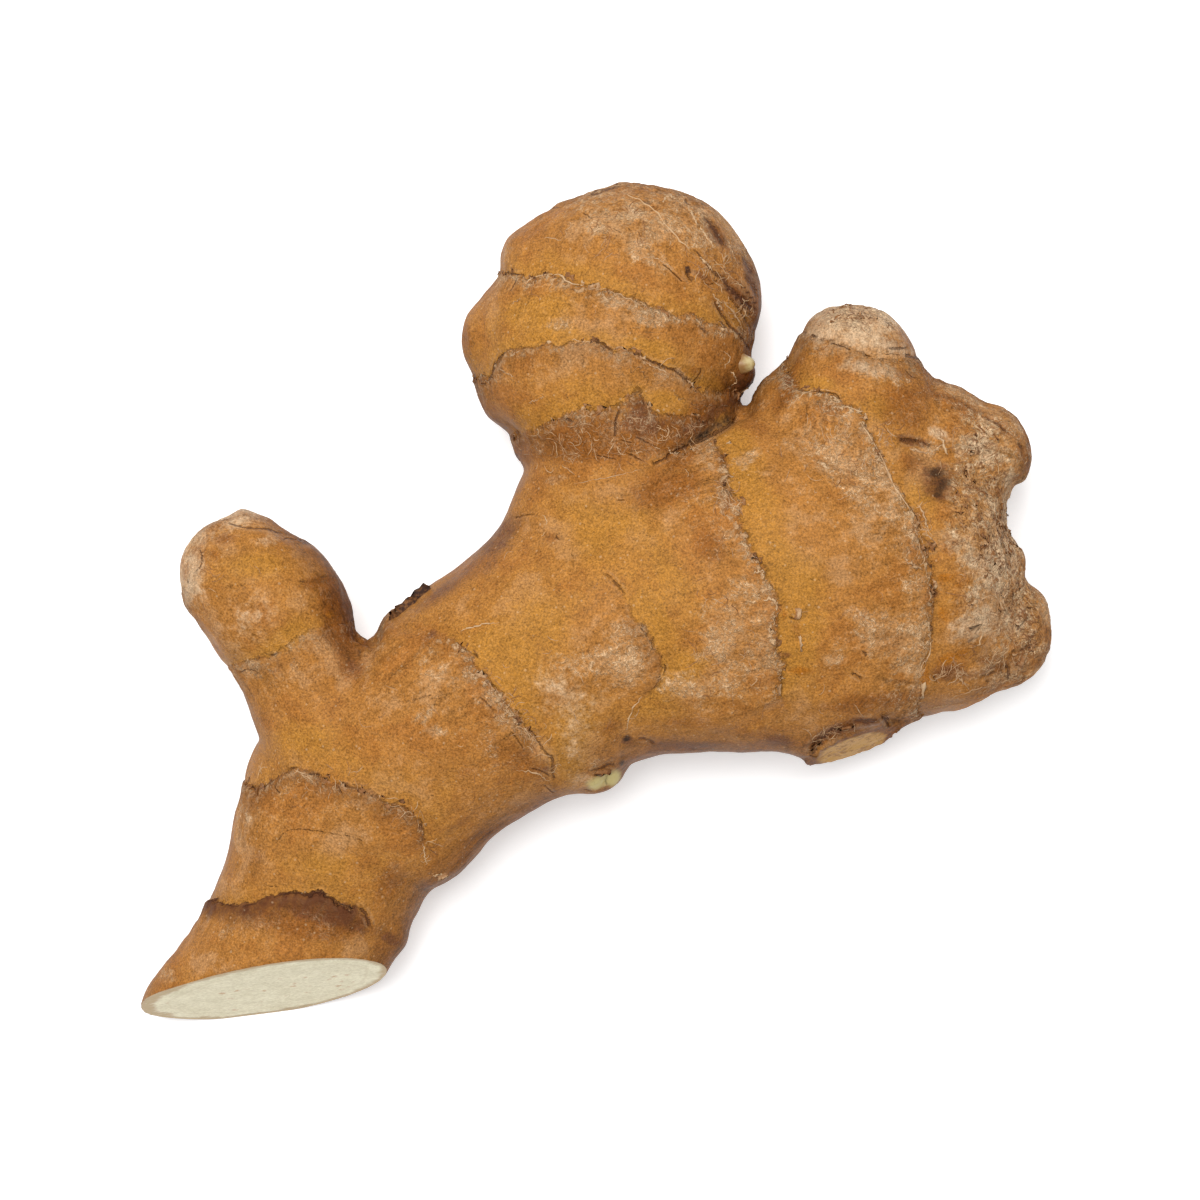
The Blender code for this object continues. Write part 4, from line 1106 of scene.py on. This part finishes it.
def scaled_by(tree, vector, amount):
    """A colour or a place times a number or a value."""
    return node(tree, "ShaderNodeVectorMath", {"operation": "SCALE"}, 0, vector, Scale=amount)


def feed(tree, shader, **values):
    """Links values to the shader's sockets, which are named with _ for a space."""
    for name, value in values.items():
        tree.links.new(value.link, shader.inputs[name.replace("_", " ")])


def dented(tree, height, strength, depth):
    """The facing of a surface whose grain stands out by height times depth, in millimetres."""
    return node(tree, "ShaderNodeBump", {}, "Normal", Strength=strength, Distance=depth * MM,
                Height=height)


SKIN_TAN = (0.330, 0.138, 0.030)
SKIN_GOLD = (0.345, 0.152, 0.025)
SKIN_BLOOM = (0.395, 0.215, 0.095)
SKIN_BROWN = (0.185, 0.060, 0.009)
SKIN_RUDDY = (0.270, 0.088, 0.014)
SKIN_PURPLE = (0.105, 0.036, 0.014)
SKIN_AMBER = (0.30, 0.105, 0.010)
SHADE_AND_SPOT_BLACK = (0.024, 0.014, 0.009)
CORK_PALE = (0.46, 0.285, 0.145)
THREAD_PALE = (0.60, 0.42, 0.25)
CHALKY = (0.50, 0.350, 0.215)
BUD_GREEN = (0.52, 0.42, 0.17)
BROKEN_TAN = (0.52, 0.285, 0.080)
BROKEN_DARK = (0.22, 0.09, 0.025)
PAINTED_SHADE_BROWN = (0.12, 0.035, 0.005)
CORK_TAN = (0.40, 0.195, 0.065)
CORK_DARK = (0.15, 0.06, 0.025)
HOLLOW_SHADE_BROWN = (0.13, 0.048, 0.017)
RING_SHADOW = (0.06, 0.020, 0.010)
FLAKE_SHADOW_DARK = (0.12, 0.042, 0.020)
CRACK_DARK = (0.065, 0.025, 0.015)


def skin_finish():
    """Golden corky skin: tones, worm-like wrinkles, flaky rings, cracks and pores."""
    material, tree, shader = new_material("ginger_skin")
    where = in_millimetres(tree)
    run = reading(tree, "grain", "Vector")
    gap = reading(tree, "ring_gap")
    near_ring = reading(tree, "ringness")
    rough = reading(tree, "rough")
    shade = reading(tree, "shade")

    crinkle = grains(tree, where, 0.8, 2, 0.6, 0.5) - 0.5
    fine = grains(tree, where, 0.30, 2, 0.8) - 0.5
    blotch = grains(tree, where, 3.2, 5, 0.68) - 0.5
    broad = grains(tree, where, 8, 3, 0.55) - 0.5
    lengthwise = grains(tree, run, 0.85, 3, 0.65, 0.3, (0.14, 1, 1)) - 0.5
    crust = grains(tree, where, 0.95, 3, 0.7, 0.8) - 0.5
    worm = (grains(tree, where, 1.05, 2, 0.45, 1.4) - 0.5).size()

    def spread(name, loose=1.0, low=0.22, high=0.85):
        """A tone's amount with its soft edge broken up by the blotches."""
        amount = reading(tree, name)
        return (amount + (blotch + crinkle * 0.5) * loose * (amount * 4).least(1)).ease(low, high)

    gold = spread("gold", 0.5, 0.08, 0.85)
    colour = tint(tree, gold, SKIN_TAN, SKIN_GOLD)
    rosy = (broad + blotch * 0.6).ease(0.02, 0.16) * (1 - gold * 0.9)
    colour = tint(tree, rosy * 0.5, colour, SKIN_BLOOM)
    ruddy = (broad + blotch * 0.6).ease(-0.02, -0.16) * (1 - gold * 0.9)
    colour = tint(tree, ruddy * 0.35, colour, SKIN_RUDDY)

    # Bloom, old sheath, painted shade on the flanks turned away from the light, bruises and cork,
    # each broken up by the blotches; the brown and the purple hold painted shade as well.
    bloom = spread("bloom")
    colour = tint(tree, bloom * (0.62 + blotch * 1.6), colour, SKIN_BLOOM)
    colour = tint(tree, spread("brown") * 0.75, colour, SKIN_BROWN)
    colour = tint(tree, shade * (0.74 + blotch * 1.2), colour, PAINTED_SHADE_BROWN)
    streaky = 0.85 + 1.6 * lengthwise
    colour = tint(tree, spread("purple") * streaky * 0.85, colour, SKIN_PURPLE)
    colour = tint(tree, spread("amber"), colour, SKIN_AMBER)
    corky = spread("cork", 1.1)
    cork_tone = tint(tree, (blotch + broad).ease(-0.10, 0.12), CORK_TAN, CORK_PALE)
    colour = tint(tree, corky * 0.75, colour, cork_tone)
    colour = tint(tree, spread("chalk", 1.2, 0.05, 1.0) * (0.75 + blotch * 1.2), colour, CHALKY)

    # Scurf: pale worm-like lines with painted shade in the hollows between them.
    patchy = (blotch * 1.5 + crust * 0.5 + 0.5).ease(0.42, 0.66)
    scurf = (bloom * 0.8 + rough * 0.22 + corky * 0.5 + 0.03) * patchy
    line = worm.ease(0.055, 0.020) * (scurf * 1.5 + 0.06).least(1)
    # Painted shade in the hollows between the pale lines, strongest on the cork.
    hollow_shade = worm.ease(0.06, 0.17) * (0.03 + 0.60 * corky + 0.14 * rough)
    dusting = (scurf * 0.28).least(0.3) * (crust * 3 + 0.5).least(1).most(0)
    colour = tint(tree, dusting, colour, CORK_PALE)
    colour = tint(tree, hollow_shade, colour, HOLLOW_SHADE_BROWN)
    colour = tint(tree, line * (0.45 + 0.35 * corky), colour, THREAD_PALE)
    colour = tint(tree, corky * crust.ease(-0.05, -0.18) * 0.6, colour, CORK_DARK)

    # Lighter and darker grain over everything so far, its streaks strongest in the painted shade.
    even = 1.02 + fine * 2.3 + blotch * 0.7 + crinkle * 0.3
    even = even + lengthwise * (0.4 + rough * 0.9 + shade * 1.8)
    colour = scaled_by(tree, colour, even.most(0.25))

    # Each ring: a dark band before it, a thin painted shadow line at its edge, and pale flakes on
    # the lip with painted shadow between them.
    edge = gap + crinkle * 1.5 + blotch * 0.8
    ink = reading(tree, "ring_dark")
    band = edge.ease(-4.0, -0.4) * edge.ease(0.2, 0.0) * near_ring * ink
    colour = tint(tree, band * (0.95 + blotch * 1.6 + lengthwise), colour, SKIN_PURPLE)
    broken_line = (crust + crinkle * 0.5).ease(-0.10, 0.10)
    shadow_line = (edge - 0.1).size().ease(0.26, 0.05) * near_ring * broken_line
    colour = tint(tree, shadow_line * (0.22 + 0.66 * ink), colour, RING_SHADOW)
    flake_band = edge.ease(-1.7, -0.3) * edge.ease(0.05, -0.2) * near_ring
    flake_band = flake_band * reading(tree, "flaky") * (1 - ink).most(0)
    flake = flake_band * (crust + crinkle * 0.4).ease(-0.02, 0.08)
    colour = tint(tree, flake * 0.6, colour, THREAD_PALE)
    # Painted shadow between the flakes.
    colour = tint(tree, flake_band * crust.ease(-0.06, -0.18) * 0.6, colour, FLAKE_SHADOW_DARK)

    # Cracks: a dark broken line between two pale lifted edges.
    cracked = lifted = 0
    for name in ("crack", "split"):
        ink = reading(tree, name + "_ink")
        away = (reading(tree, name) + crinkle * 3.0).size()
        whole = (ink + crust * 1.8).ease(0.15, 0.80) * ink.ease(0, 0.2)
        cracked = away.ease(0.9, 0.2) * whole + cracked
        lifted = away.ease(1.2, 1.8) * away.ease(3.2, 2.2) * whole + lifted
    lifted = lifted.least(1) * (0.12 - 0.12 * reading(tree, "ring_dark"))
    colour = tint(tree, lifted, colour, THREAD_PALE)
    colour = tint(tree, cracked.least(1) * 0.62, colour, CRACK_DARK)
    # Painted shade in the creases, and the small dark pits and spots.
    colour = tint(tree, spread("soot", 0.9) * (0.84 + crust * 1.2).least(1), colour, SHADE_AND_SPOT_BLACK)
    colour = tint(tree, spread("bud", 0.4), colour, BUD_GREEN)

    # Pale pores, and the torn flesh where the side shoot is snapped off.
    speck = cells(tree, where, 1.5)
    colour = tint(tree, (speck + crinkle * 0.2).ease(0.14, 0.07) * 0.3, colour, THREAD_PALE)
    broken = reading(tree, "broken")
    colour = tint(tree, broken * 0.9, colour, BROKEN_TAN)
    pits = broken * (crust + blotch * 0.5).ease(0.02, -0.12)
    colour = tint(tree, pits * 0.7, colour, BROKEN_DARK)

    height = fine * 0.22 + line * 0.45 + flake * 0.7 + lengthwise * rough * 0.5
    height = height + crust * (corky * 0.9 + flake_band * 0.5) - shadow_line * 0.5 - cracked * 1.0
    facing_way = dented(tree, height, 0.8, 0.4)
    dull = 0.46 + 0.20 * rough + fine * 0.3
    feed(tree, shader, Base_Color=colour, Normal=facing_way, Roughness=dull)
    shader.inputs["Specular IOR Level"].default_value = 0.05
    return material


FLESH_SHADE = (0.56, 0.48, 0.28)
FLESH_CREAM = (0.85, 0.78, 0.56)
FLESH_RIM = (0.42, 0.27, 0.10)
FLESH_RING = (0.50, 0.38, 0.18)
FLESH_DOT = (0.46, 0.22, 0.04)


def flesh_finish():
    """Wet pale flesh cut by a knife: cream, tan under the skin, a faint ring, cut fibres, dots."""
    material, tree, shader = new_material("ginger_flesh")
    where = in_millimetres(tree)
    fibres = grains(tree, where, 0.32, 2, 0.7, 0.2, (0.6, 1, 1)) - 0.5
    clouds = grains(tree, where, 3.0, 4, 0.65) - 0.5
    rim = reading(tree, "rim_gap") + clouds * 1.6
    colour = tint(tree, (fibres + clouds * 0.6).ease(-0.35, 0.35), FLESH_SHADE, FLESH_CREAM)
    colour = tint(tree, rim.ease(1.1, 0.2) * 0.9, colour, FLESH_RIM)
    ring = (rim - 2.6).size().ease(0.30, 0.06) * (fibres + 0.5).ease(0.35, 0.6)
    colour = tint(tree, ring * 0.35, colour, FLESH_RING)
    dots = cells(tree, where, 2.3)
    dot = (dots + fibres * 0.5).ease(0.30, 0.12) * rim.ease(2.0, 3.0) * clouds.ease(-0.02, 0.08)
    colour = tint(tree, dot * 0.8, colour, FLESH_DOT)
    feed(tree, shader, Base_Color=colour, Normal=dented(tree, fibres, 0.6, 0.3))
    shader.inputs["Roughness"].default_value = 0.5
    return material


# The cut face takes the flesh, everything else the skin, with a sharp crease round the cut.
skin_mesh.materials.clear()
skin_mesh.materials.append(skin_finish())
skin_mesh.materials.append(flesh_finish())
corner_point = np.empty(len(skin_mesh.loops), np.int32)
skin_mesh.loops.foreach_get("vertex_index", corner_point)
first_corner = np.empty(len(skin_mesh.polygons), np.int32)
skin_mesh.polygons.foreach_get("loop_start", first_corner)
on_face = np.minimum.reduceat(flesh[corner_point], first_corner) > 0.5
skin_mesh.polygons.foreach_set("material_index", on_face.astype(np.int32))
skin_mesh.shade_smooth()
skin_corners = np.repeat(~on_face, np.diff(np.append(first_corner, len(corner_point))))
rim = np.zeros(count, bool)
rim[corner_point[skin_corners]] = True
rim &= on_cut
ends = np.empty(len(skin_mesh.edges) * 2, np.int32)
skin_mesh.edges.foreach_get("vertices", ends)
crease = skin_mesh.attributes.new("sharp_edge", "BOOLEAN", "EDGE")
crease.data.foreach_set("value", rim[ends.reshape(-1, 2)].all(axis=1))
skin_mesh.update()

rhizome = added("rhizome_skin", skin_mesh)
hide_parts("rhizome")
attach(rhizome, "root")


# ----------------------------------------------------------------------------------------
# Scurf: torn strings, curled scales and short fibres of the old papery sheaths, dried on to
# the skin where each sheath tore away.
# ----------------------------------------------------------------------------------------
place, facing = points_of(skin_mesh)
seen = seen_from_above(place)
TOP_POINTS = np.flatnonzero(facing[:, 2] > 0.10)
SHEET_THICKNESS = 0.09  # of a scale, in millimetres
SUNK = 0.12  # how far the root of a string lies under the skin, in millimetres
STRING_STEPS = 16
FIBRE_STEPS = 6
chance = np.random.default_rng(7)


def nearest_of(wanted, among):
    """Row of among that is nearest to each row of wanted, by the squared distance."""
    wanted, among = wanted.astype(np.float32), among.astype(np.float32)
    square = (among**2).sum(axis=1)
    parts = np.array_split(wanted, max(1, len(wanted) // 250))
    return np.concatenate([(square - 2 * part @ among.T).argmin(axis=1) for part in parts])


def dropped(plan):
    """Plan points laid on the skin along the eye's line: the points and the skin's facing there."""
    flat = plan.reshape(-1, 2)
    near = TOP_POINTS[nearest_of(flat, seen[TOP_POINTS])]
    gap = (flat - seen[near]) * ((EYE - (place[near, 2] - WAIST)) / EYE)[:, None]
    facing_up = np.maximum(facing[near, 2], 0.3)
    rise = -(facing[near, :2] * gap).sum(axis=1) / facing_up
    spot = place[near] + np.column_stack([gap, rise])
    return spot.reshape(*plan.shape[:-1], 3), facing[near].reshape(*plan.shape[:-1], 3)


def snapped(points):
    """Points moved on to the plane of the skin at their nearest vertex, and its facing there."""
    flat = points.reshape(-1, 3)
    near = nearest_of(flat, place)
    height = ((flat - place[near]) * facing[near]).sum(axis=1)
    spot = flat - facing[near] * height[:, None]
    return spot.reshape(points.shape), facing[near].reshape(points.shape)


def closed_mesh(name, points, faces, pale):
    """Mesh in metres from points in millimetres, which keeps how pale each point is.

    For the side bud that number is how far along it the point is, from 0 at its root.
    """
    mesh = bpy.data.meshes.new(name)
    mesh.from_pydata((points.reshape(-1, 3) * MM).tolist(), [], faces)
    layer = mesh.attributes.new("pale", "FLOAT", "POINT")
    layer.data.foreach_set("value", pale.ravel().astype(np.float32))
    mesh.shade_smooth()
    return mesh


def strands(name, centre, up, half_width, height, pale):
    """Diamond-section strings: each ring is left, top, right and a root sunk in the skin.

    Widths fall to nothing at the two ends by the square root of a sine.
    """
    many, steps = half_width.shape
    way = unit(np.gradient(centre, axis=1) + 1e-9)
    side = unit(np.cross(way, up))
    taper = np.sqrt(np.sin(np.pi * (np.arange(steps) + 0.3) / (steps - 0.4)))
    wide = (half_width * taper)[..., None] * side
    tall = (height * taper)[..., None] * up
    rings = np.stack([centre + wide, centre + tall, centre - wide, centre - SUNK * up], axis=2)
    start = np.arange(many)[:, None, None] * steps * 4
    ring = start + np.arange(steps - 1)[None, :, None] * 4
    here, after = np.arange(4), np.roll(np.arange(4), -1)
    sides = np.stack([ring + here, ring + 4 + here, ring + 4 + after, ring + after], axis=-1)
    first = start[:, 0] + here
    last = start[:, 0] + (steps - 1) * 4 + here[::-1]
    faces = np.vstack([sides.reshape(-1, 4), first, last])
    return closed_mesh(name, rings, faces.tolist(), np.broadcast_to(pale, rings.shape[:3]))


def scales(name, spot, up, way, half_width, length, lift, pale):
    """Thin curled sheets: rooted in the skin at one end and lifting by the power 1.7 to the other.

    The free edge is ragged, and the sides curl up by the square of the distance from the middle.
    """
    many, rows, columns = len(spot), 5, 4
    way = unit(way - (way * up).sum(axis=1, keepdims=True) * up)
    side = np.cross(way, up)
    v = np.linspace(0, 1, rows)[None, :, None]
    u = np.linspace(-1, 1, columns)[None, None, :]
    ragged = 1 + 0.35 * chance.uniform(-1, 1, (many, rows, columns)) * (0.3 + v)
    ahead = length[:, None, None] * v * ragged * (1 - 0.25 * u**2)
    across = half_width[:, None, None] * u * ragged * (1 - 0.35 * v**2)
    flat = spot[:, None, None] + ahead[..., None] * way[:, None, None]
    base, lying = snapped(flat + across[..., None] * side[:, None, None])
    rise = lift[:, None, None] * (v**1.7 + 0.25 * u**2 * v) - 0.10 + 0.12 * v
    sheet = base + rise[..., None] * lying
    both = np.stack([sheet, sheet - SHEET_THICKNESS * lying], axis=1)
    start = (np.arange(many) * 2 * rows * columns)[:, None]
    grid = np.arange(rows * columns).reshape(rows, columns)
    quads = np.stack([grid[:-1, :-1], grid[:-1, 1:], grid[1:, 1:], grid[1:, :-1]], axis=-1)
    quads = quads.reshape(-1, 4)
    rim = np.concatenate([grid[0], grid[1:, -1], grid[-1, -2::-1], grid[-2:0:-1, 0]])
    after = np.roll(rim, -1)
    under = rows * columns
    walls = np.stack([rim, rim + under, after + under, after], axis=-1)
    faces = np.vstack([quads, quads[:, ::-1] + under, walls])
    faces = (start[..., None] + faces[None]).reshape(-1, 4)
    tone = pale[:, None, None, None] * (0.55 + 0.45 * v[:, None]) * np.ones((1, 2, 1, columns))
    return closed_mesh(name, both, faces.tolist(), tone)


SCURF_DARK = (0.035, 0.014, 0.008)
SCURF_BROWN = (0.25, 0.105, 0.034)
SCURF_STRAW = (0.54, 0.36, 0.20)


def scurf_finish():
    """Dry papery sheath: brown at the root of a scale, straw-pale at its torn edge."""
    material, tree, shader = new_material("ginger_scurf")
    where = in_millimetres(tree)
    grain = grains(tree, where, 0.5, 2, 0.7) - 0.5
    pale = reading(tree, "pale") + grain * 0.8
    colour = tint(tree, pale.ease(0.0, 0.45), SCURF_DARK, SCURF_BROWN)
    colour = tint(tree, pale.ease(0.35, 1.0), colour, SCURF_STRAW)
    feed(tree, shader, Base_Color=colour)
    shader.inputs["Roughness"].default_value = 0.7
    shader.inputs["Specular IOR Level"].default_value = 0.2
    return material


def grown_on(mesh, material):
    """A piece that sits on the skin and moves with it."""
    mesh.materials.append(material)
    piece = added(mesh.name, mesh)
    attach(piece, "root")


def resampled(points, steps):
    """The curve through the points at even steps along its length."""
    curve = through(points, 8)
    run = np.concatenate([[0], np.linalg.norm(np.diff(curve, axis=0), axis=1).cumsum()])
    spot = np.linspace(0, run[-1], steps)
    return np.stack([np.interp(spot, run, curve[:, axis]) for axis in (0, 1)], axis=1)


# Beds of short fibres: x, y, half-length, half-width, turn in degrees, and how many.
FIBRE_BEDS = [
    (-2, 22.8, 11, 3.4, 5, 120), (9, 23.4, 5, 2.0, 20, 40), (17.8, 15, 1.2, 3.6, -10, 60),
    (40, 23, 1.4, 4, -30, 35), (46, 10, 0.9, 4, 10, 35), (-12, -18, 9, 1.4, -57, 70),
    (-27, -32.5, 1, 5, 30, 25), (58, 2, 6, 16, 0, 170), (36, 40, 6, 3, 0, 20),
    (34, -19.4, 5, 1.2, 25, 60), (50.6, -10.6, 3, 1.6, 10, 50), (17.5, 46, 8, 2.4, -52, 90),
    (3, 53, 9, 3.4, 0, 50), (-58, 4, 1.8, 7, -10, 15), (52, 20, 5, 6, -20, 60),
    (33, 21, 7, 6, -30, 60), (19, -4, 6, 10, 0, 50), (-43, -26, 8, 2, 0, 40), (0, 0, 60, 45, 0, 90),
    (60, -6, 3, 4, 0, 60),
]


def fibre_paths(steps):
    """Curved plan paths scattered in the beds: each turns steadily, and wanders a little."""
    starts = []
    for x, y, long, wide, turn, many in FIBRE_BEDS:
        angle = math.radians(turn)
        reach = np.sqrt(chance.random(many))[:, None]
        round_it = chance.uniform(0, 2 * np.pi, many)
        oval = reach * np.stack([long * np.cos(round_it), wide * np.sin(round_it)], axis=1)
        spin = np.array([[math.cos(angle), math.sin(angle)], [-math.sin(angle), math.cos(angle)]])
        starts.append(oval @ spin + (x, y))
    starts = np.vstack(starts)
    many = len(starts)
    combed = np.column_stack([starts, np.zeros(many)])
    heading = 6 * noise(combed, 5.0, 61)[:, None] + chance.normal(0, 0.6, (many, 1))
    heading = heading + chance.normal(0, 0.32, (many, 1)) * np.arange(steps)
    heading += chance.normal(0, 0.25, (many, steps))
    stride = chance.uniform(0.15, 0.55, (many, 1)) * np.ones(steps)
    move = stride[..., None] * np.stack([np.cos(heading), np.sin(heading)], axis=-1)
    return starts[:, None] + move.cumsum(axis=1)


# Strings along the pale threads.
scurf = scurf_finish()
paths = np.stack([resampled(points, STRING_STEPS) for points, half_width, strength in THREADS])
paths += chance.normal(0, 0.10, paths.shape)
half_width = np.array([half_width for points, half_width, strength in THREADS])[:, None]
strong = np.array([strength for points, half_width, strength in THREADS])[:, None]
half_width = half_width * chance.uniform(0.15, 0.95, (len(THREADS), STRING_STEPS))
centre, up = dropped(paths)
height = 0.5 * half_width + 0.06
pale = (0.35 + 0.6 * strong)[..., None]
grown_on(strands("sheath_strings", centre, up, half_width, height, pale), scurf)

# Short fibres in their beds, but for those that fall off a flank.
paths = fibre_paths(FIBRE_STEPS)
centre, up = dropped(paths)
astray = np.linalg.norm(seen_from_above(centre.reshape(-1, 3)).reshape(paths.shape) - paths, axis=2)
stretch = np.linalg.norm(np.diff(centre, axis=1), axis=2).max(axis=1)
kept = (astray.max(axis=1) < 0.12) & (up[..., 2].min(axis=1) > 0.2) & (stretch < 1.0)
centre, up = centre[kept], up[kept]
many = len(centre)
half_width = chance.uniform(0.035, 0.075, (many, 1)) * np.ones(FIBRE_STEPS)
height = chance.uniform(0.04, 0.11, (many, 1)) * np.ones(FIBRE_STEPS)
pale = chance.uniform(0.3, 0.85, (many, 1, 1))
grown_on(strands("sheath_fibres", centre, up, half_width, height, pale), scurf)

# Scales on the torn lips of the rings, and crumbled ones on the cork.
torn_edge = (ring_gap > -0.6) & (ring_gap < 0.1) & (ringness > 0.6) & (facing[:, 2] > 0.05)
edge_points = chance.permutation(np.flatnonzero(torn_edge & (flaky > 0.35)))[:130]
crusty = chance.permutation(np.flatnonzero((cork > 0.6) & (facing[:, 2] > -0.1)))[:150]
chosen = np.concatenate([edge_points, crusty])
many = len(chosen)
way = growth[chosen] + chance.normal(0, 0.35, (many, 3))
way[len(edge_points):] = chance.normal(0, 1, (len(crusty), 3))
size = np.where(np.arange(many) < len(edge_points), 1.0, 0.8)
half_width = size * chance.uniform(0.2, 1.0, many)
length = size * chance.uniform(0.3, 1.1, many)
lift = size * chance.uniform(0.06, 0.28, many)
pale = chance.uniform(0.25, 0.85, many)
grown_on(scales("sheath_scales", place[chosen], facing[chosen], way, half_width, length, lift, pale),
         scurf)

# Scales that stand out: x, y, heading in degrees, half-width, length, lift, and how pale.
LARGE_SCALES = [
    (46.2, -13.2, 8, 1.9, 0.7, 0.3, 1), (27.9, -2, 0, 0.8, 1.1, 0.5, 0.7),
    (28.6, -6.2, 8, 1.2, 0.7, 0.35, 0.9), (37.6, 26.8, -40, 0.5, 1.2, 0.5, 0.9),
    (52.2, -5.4, 20, 1.5, 2.9, 0.25, 0.8), (-22.9, -39.4, -70, 0.9, 1, 0.4, 0.7),
    (-27.8, -1.3, 128, 1.9, 1.5, 0.9, 0.2), (-25.6, 0.6, 128, 1.7, 1.5, 0.9, 0.1),
    (-29.8, -2.8, 118, 1.1, 1.6, 0.8, 0.3), (10.4, 20.8, 60, 0.5, 1.1, 0.6, 0.9),
    (-0.6, 37, 100, 0.7, 0.9, 0.4, 0.3), (12.8, 46.8, 120, 0.5, 1.2, 0.4, 0.2),
    (48.2, 1.2, 160, 1, 1.2, 0.5, 0.5), (47.4, 7.4, 30, 0.9, 1.2, 0.5, 0.5),
    (40.6, -17, 20, 0.9, 1.2, 0.6, 0.3), (35.5, -18.6, 100, 1.4, 0.9, 0.5, 0.35),
    (31.5, -21, 130, 1.2, 1, 0.5, 0.3), (60.2, -8.6, -30, 1.2, 1.2, 0.4, 0.5),
    (0.6, -24.4, -90, 1.6, 0.9, 0.5, 0.45), (-36.8, -44.6, 60, 1.6, 0.8, 0.3, 0.25),
]
table = np.array(LARGE_SCALES, float)
spot, up = dropped(table[:, :2])
heading = np.radians(table[:, 2])
way = np.stack([np.cos(heading), np.sin(heading), np.zeros(len(table))], axis=1)
grown_on(scales("sheath_tatters", spot, up, way, *table[:, 3:].T), scurf)


# ----------------------------------------------------------------------------------------
# Side bud: a small pointed cream shoot just breaking the skin low on the side of the knob,
# with a painted brown shadow round its base where it comes out, and a dry tip.
# ----------------------------------------------------------------------------------------
BUD_PLACE = (20.9, 34.1)  # where it comes out, seen from above
BUD_WAY = (1, -0.12, 0.45)
BUD_LENGTH = 3.8
BUD_RADIUS = 1.9
BUD_ROOTED = 2.2  # how much of its length is under the skin
BUD_PALE = (0.52, 0.42, 0.21)
BUD_TAN = (0.40, 0.30, 0.12)
BASE_SHADOW_BROWN = (0.24, 0.11, 0.03)
DRY_BROWN = (0.20, 0.09, 0.03)


def side_bud():
    """Pointed bulb: rings along its axis, whose radius falls by (1 - v^2.6)^0.62 to the tip.

    Five faint ribs run along it, made by a sine round each ring.
    """
    rings, sides = 12, 18
    v = np.linspace(0, 1, rings)[:, None]
    turn = np.linspace(0, 2 * np.pi, sides, endpoint=False)[None]
    axis = unit(BUD_WAY)
    across = unit(np.cross(axis, (0, 0, 1)))
    above = np.cross(across, axis)
    radius = (BUD_RADIUS * (1 - v**2.6) ** 0.62 + 0.02) * (1 + 0.06 * np.sin(5 * turn + 2 * v))
    root = dropped(np.array([BUD_PLACE]))[0][0] - BUD_ROOTED * axis
    centre = root + BUD_LENGTH * v[..., None] * axis
    points = centre + (radius * np.cos(turn))[..., None] * across * 0.85
    points = points + (radius * np.sin(turn))[..., None] * above
    grid = np.arange(rings * sides).reshape(rings, sides)
    turned = np.roll(grid, -1, axis=1)
    walls = np.stack([grid[:-1], grid[1:], turned[1:], turned[:-1]], axis=-1).reshape(-1, 4)
    faces = [*walls.tolist(), grid[0].tolist(), grid[-1, ::-1].tolist()]
    return closed_mesh("side_bud", points, faces, np.repeat(v[:, 0], sides))


def bud_finish():
    """Cream with faint clouds; the painted shadow round its base and its dry tip go by how far along
    it a point is.
    """
    material, tree, shader = new_material("bud_cream")
    where = in_millimetres(tree)
    clouds = grains(tree, where, 1.2, 2, 0.6) - 0.5
    colour = tint(tree, clouds.ease(-0.1, 0.15), BUD_TAN, BUD_PALE)
    # Painted shadow round the base, where the bud comes out of the skin.
    base_shadow = (reading(tree, "pale") + clouds * 0.5).ease(0.90, 0.62)
    colour = tint(tree, base_shadow * 0.9, colour, BASE_SHADOW_BROWN)
    dry_tip = (reading(tree, "pale") + clouds * 0.2).ease(0.92, 1.0)
    colour = tint(tree, dry_tip * 0.8, colour, DRY_BROWN)
    feed(tree, shader, Base_Color=colour)
    shader.inputs["Roughness"].default_value = 0.5
    return material


grown_on(side_bud(), bud_finish())
